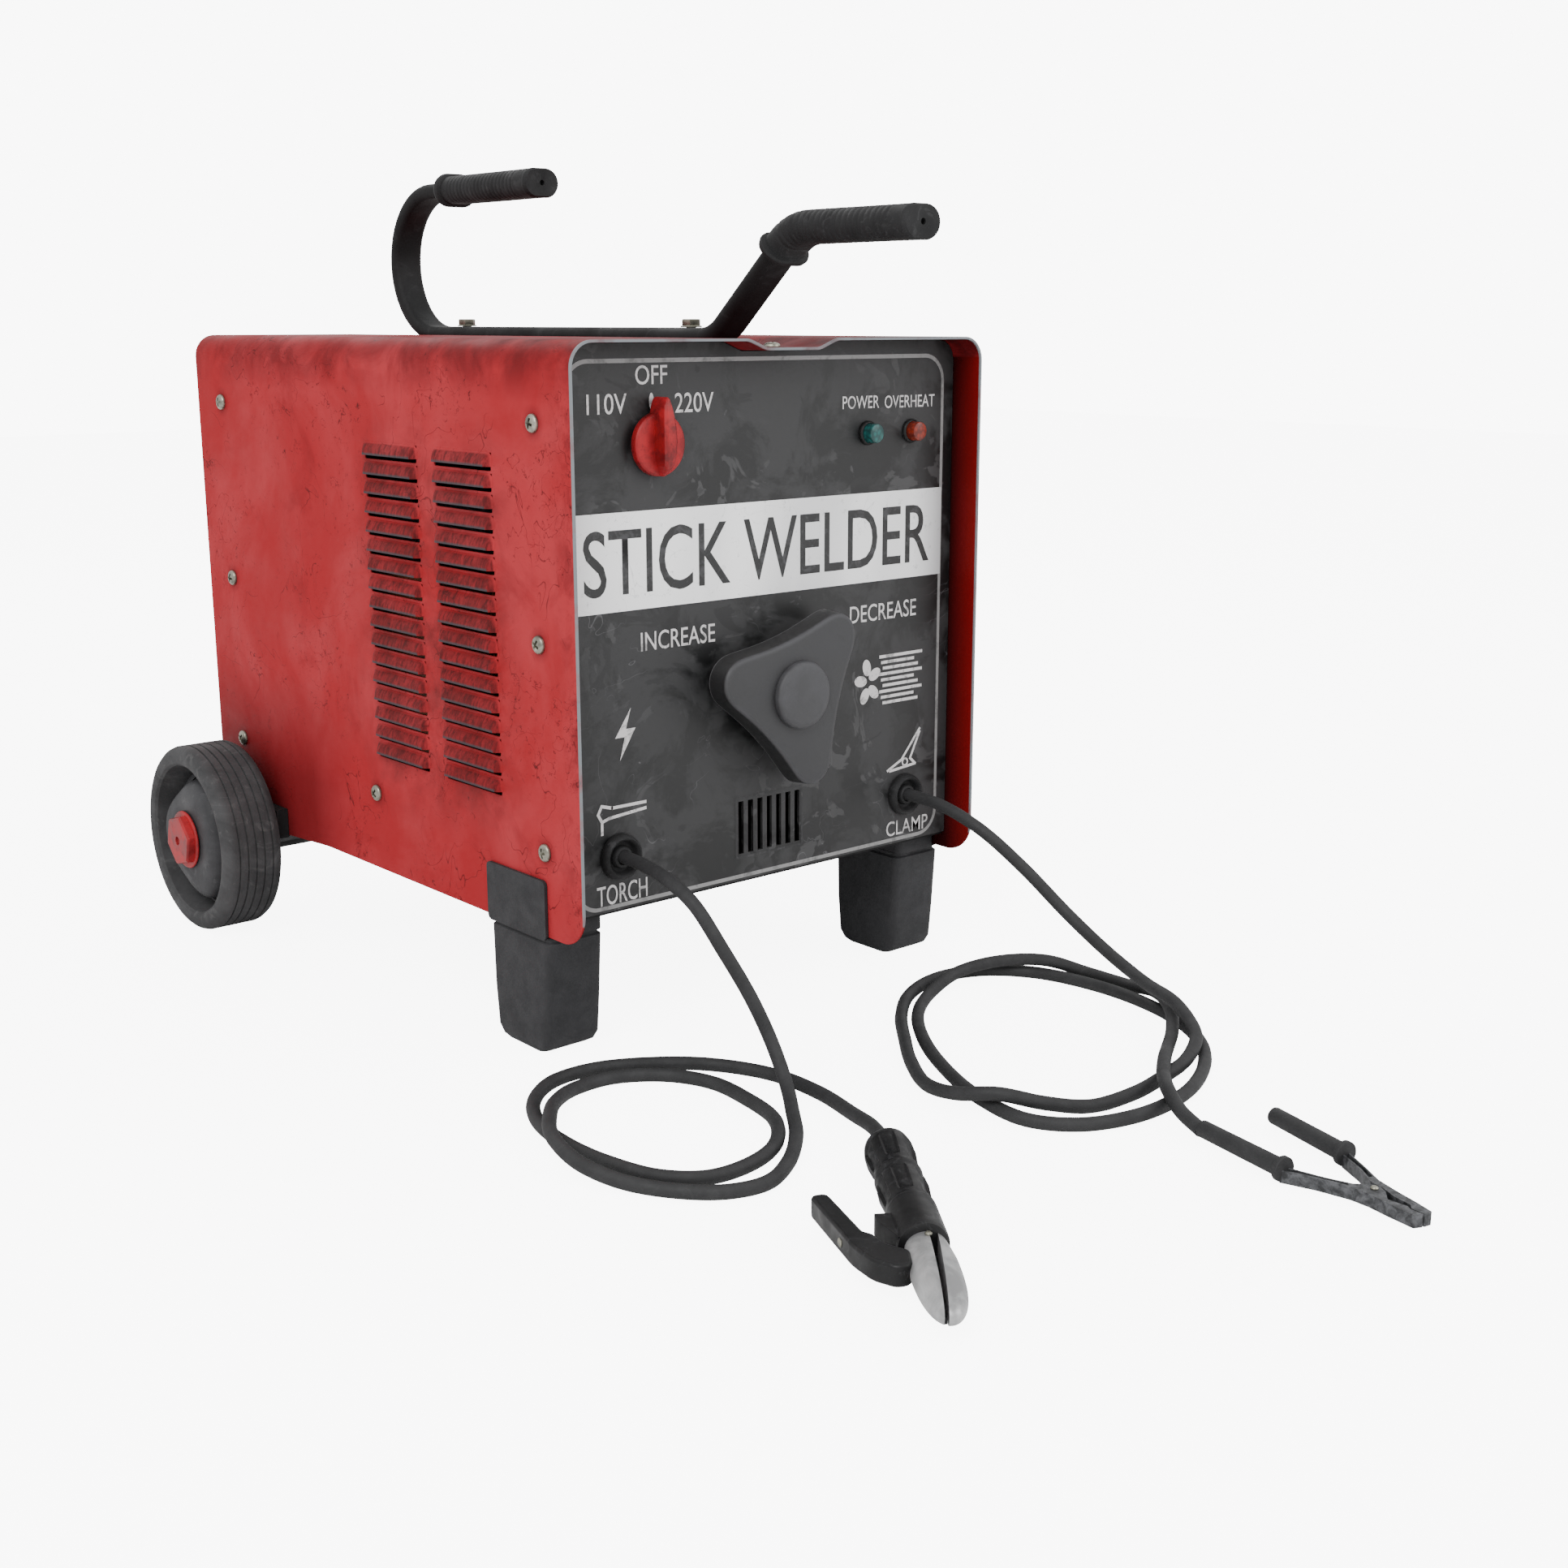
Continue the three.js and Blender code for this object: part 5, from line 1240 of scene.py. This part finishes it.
place(make_jaw("jaw_lower", True), "case", JAW_STEEL, "steel", "holder_jaw_fixed")
place(make_jaw("jaw_upper", False), "lever", JAW_STEEL, "steel", "holder_jaw_moving")
slot_fill = mm([(108, -5.1), (108, -2.6), (161, 1.9), (161, 0.5)])
insert = prism("jaw_insert", slot_fill, on_holder, -0.0050, -0.0020)
place(insert, "case", DARK_PLASTIC, "steel")
pin_head = mm([(0, 0), (1.6, 0), (1.7, 0.6), (1, 1.2), (0, 1.3)])
pin = lathe("jaw_pin", pin_head, on_holder(0.1085, -0.001, 0.0083), (0, 0, 1), 20)
place(pin, "lever", ZINC, "zinc")


# ---------------------------------------------------------------- earth clamp
def on_floor(a, b, h):
    return Vector((a, b, h))


CLAMP_PIVOT = (0.0353, -0.5457)


def make_clamp_arm(name, points, channel, body, node):
    """An arm of the clamp with its pressed channel, from outlines in millimetres."""
    arm = prism(name, rounded_path(mm(points), 0.0006, 3), on_floor, 0.0005, 0.0071)
    carve(arm, prism("channel", mm(channel), on_floor, 0.0022, 0.0090))
    return place(bevel(arm, 0.0003, 2, 45), body, CLAMP_STEEL, "steel", node)


UNDER_ARM = [
    (19.0, -504.8), (24.4, -505.6), (28.6, -524), (32.6, -536), (38.0, -541.5), (39.2, -546.5),
    (36.5, -551.0), (30, -556), (30.8, -566), (29, -568.4), (29, -575.2), (24.5, -573), (26.4, -558),
    (28.2, -548), (28.4, -538), (25, -522),
]
UNDER_CHANNEL = [(20.4, -505.4), (23.4, -506), (27.4, -523), (30.8, -534), (29.6, -536), (26, -522.6)]
OVER_ARM = [
    (56.6, -514.6), (61.8, -514.6), (53, -529.6), (45.2, -541.8), (41, -554), (37.2, -567.2),
    (34, -576.4), (29.6, -575.4), (29.6, -568.6), (32.8, -566), (35, -556), (38.8, -548), (40.6, -540.4),
    (48.6, -529.4),
]
OVER_CHANNEL = [(57.6, -515), (60.6, -515), (52.2, -529.2), (46.2, -538), (44.4, -537), (49.8, -529.6)]
make_clamp_arm("clamp_arm_under", UNDER_ARM, UNDER_CHANNEL, "case", "clamp_arm_lower")
make_clamp_arm("clamp_arm_over", OVER_ARM, OVER_CHANNEL, "clamp_jaw", "clamp_arm_upper")
rivet = lathe("clamp_rivet", mm([(0, 6.8), (1.8, 6.9), (1.9, 7.6), (1.3, 8.2), (0, 8.4)]),
              Vector((*CLAMP_PIVOT, 0.0)), (0, 0, 1), 32)
place(rivet, "case", ZINC, "zinc", "clamp_pin")


def make_sleeve(name, rear, front, body, node):
    """A rubber sleeve between two points in millimetres, a flange at its front end."""
    rear, front = Vector((*rear, 6.9)) * MM, Vector((*front, 6.9)) * MM
    length = (front - rear).length
    profile = mm([(0, 0), (3.8, 0), (4.3, 0.5), (4.5, 1.4)])
    profile += [(0.0046, length * 0.5), (0.0047, length - 0.0034), (0.0047, length - 0.0030)]
    for r, before in mm([(6.1, 2.9), (6.4, 2.6), (6.4, 0.4), (6.1, 0), (0, 0)]):
        profile.append((r, length - before))
    sleeve = lathe(name, profile, rear, front - rear, 40, False, None, 25)
    return place(sleeve, body, CABLE, "black_rubber", node)


make_sleeve("sleeve_under", (31.3, -450.1), (21.3, -506.2), "case", "clamp_sleeve_lower")
make_sleeve("sleeve_over", (72.4, -464), (58.8, -515.6), "clamp_jaw", "clamp_sleeve_upper")

# ---------------------------------------------------------------- CAD pieces that keep their shape
for material, nodes in (
    (PANEL, ("front_panel", "rear_panel")),
    (BLACK_PAINT, ("base_pan",)),
    (STEEL, ("axle", "lead_screw", "fan_motor")),
    (PLASTIC, ("switch_body", "fan_blade")),
    (COPPER, ("coil_left", "coil_right")),
    (LAMINATE, ("transformer_core", "moving_core")),
):
    for node in nodes:
        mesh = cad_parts[node].data
        mesh.materials.clear()
        mesh.materials.append(material)

# ---------------------------------------------------------------- floor and light
floor_size = 6.0
FLOOR_GLOW, SKY_LIGHT, SKY_SEEN = 7.5, 1.1, 9.0  # the glow and the brighter sky are for camera rays
bm = bmesh.new()
corners = ((-1, -1), (1, -1), (1, 1), (-1, 1))
bm.faces.new([bm.verts.new((x * floor_size, y * floor_size, 0.0)) for x, y in corners])
floor = finish_mesh("studio_floor", bm)
floor_nodes = Nodes("studio_floor")
tone = floor_nodes.ramp(floor_nodes.noise(3), 0.3, 0.7)
floor_material = floor_nodes.close(floor_nodes.mix(tone, rgb("#f4f4f4"), rgb("#f7f7f7")), 0.95)
floor_nodes.shader.inputs["Emission Color"].default_value = (1.0, 1.0, 1.0, 1.0)
seen = floor_nodes.tree.nodes.new("ShaderNodeLightPath").outputs["Is Camera Ray"]
floor_nodes.link(floor_nodes.times(seen, FLOOR_GLOW), floor_nodes.shader.inputs["Emission Strength"])
floor.data.materials.append(floor_material)

world = bpy.data.worlds.new("studio")
world.use_nodes = True
sky = world.node_tree.nodes["Background"]
sky.inputs["Color"].default_value = (1.0, 1.0, 1.0, 1.0)
strength = world.node_tree.nodes.new("ShaderNodeMapRange")
strength.inputs["To Min"].default_value = SKY_LIGHT
strength.inputs["To Max"].default_value = SKY_SEEN
seen = world.node_tree.nodes.new("ShaderNodeLightPath").outputs["Is Camera Ray"]
world.node_tree.links.new(seen, strength.inputs["Value"])
world.node_tree.links.new(strength.outputs["Result"], sky.inputs["Strength"])
bpy.context.scene.world = world


def area_light(name, location, target, size, power):
    data = bpy.data.lights.new(name, "AREA")
    data.shape = "DISK"
    data.size = size
    data.energy = power
    light = bpy.data.objects.new(name, data)
    light.location = location
    light.rotation_euler = (Vector(target) - Vector(location)).to_track_quat("-Z", "Y").to_euler()
    bpy.context.scene.collection.objects.link(light)


area_light("key", (-1.6, -1.2, 2.0), (0, 0, 0.2), 1.6, 40)
area_light("fill", (1.2, -2.0, 1.4), (0, -0.1, 0.2), 1.8, 20)
area_light("rim", (0.4, 1.8, 2.0), (0, 0, 0.3), 1.5, 14)
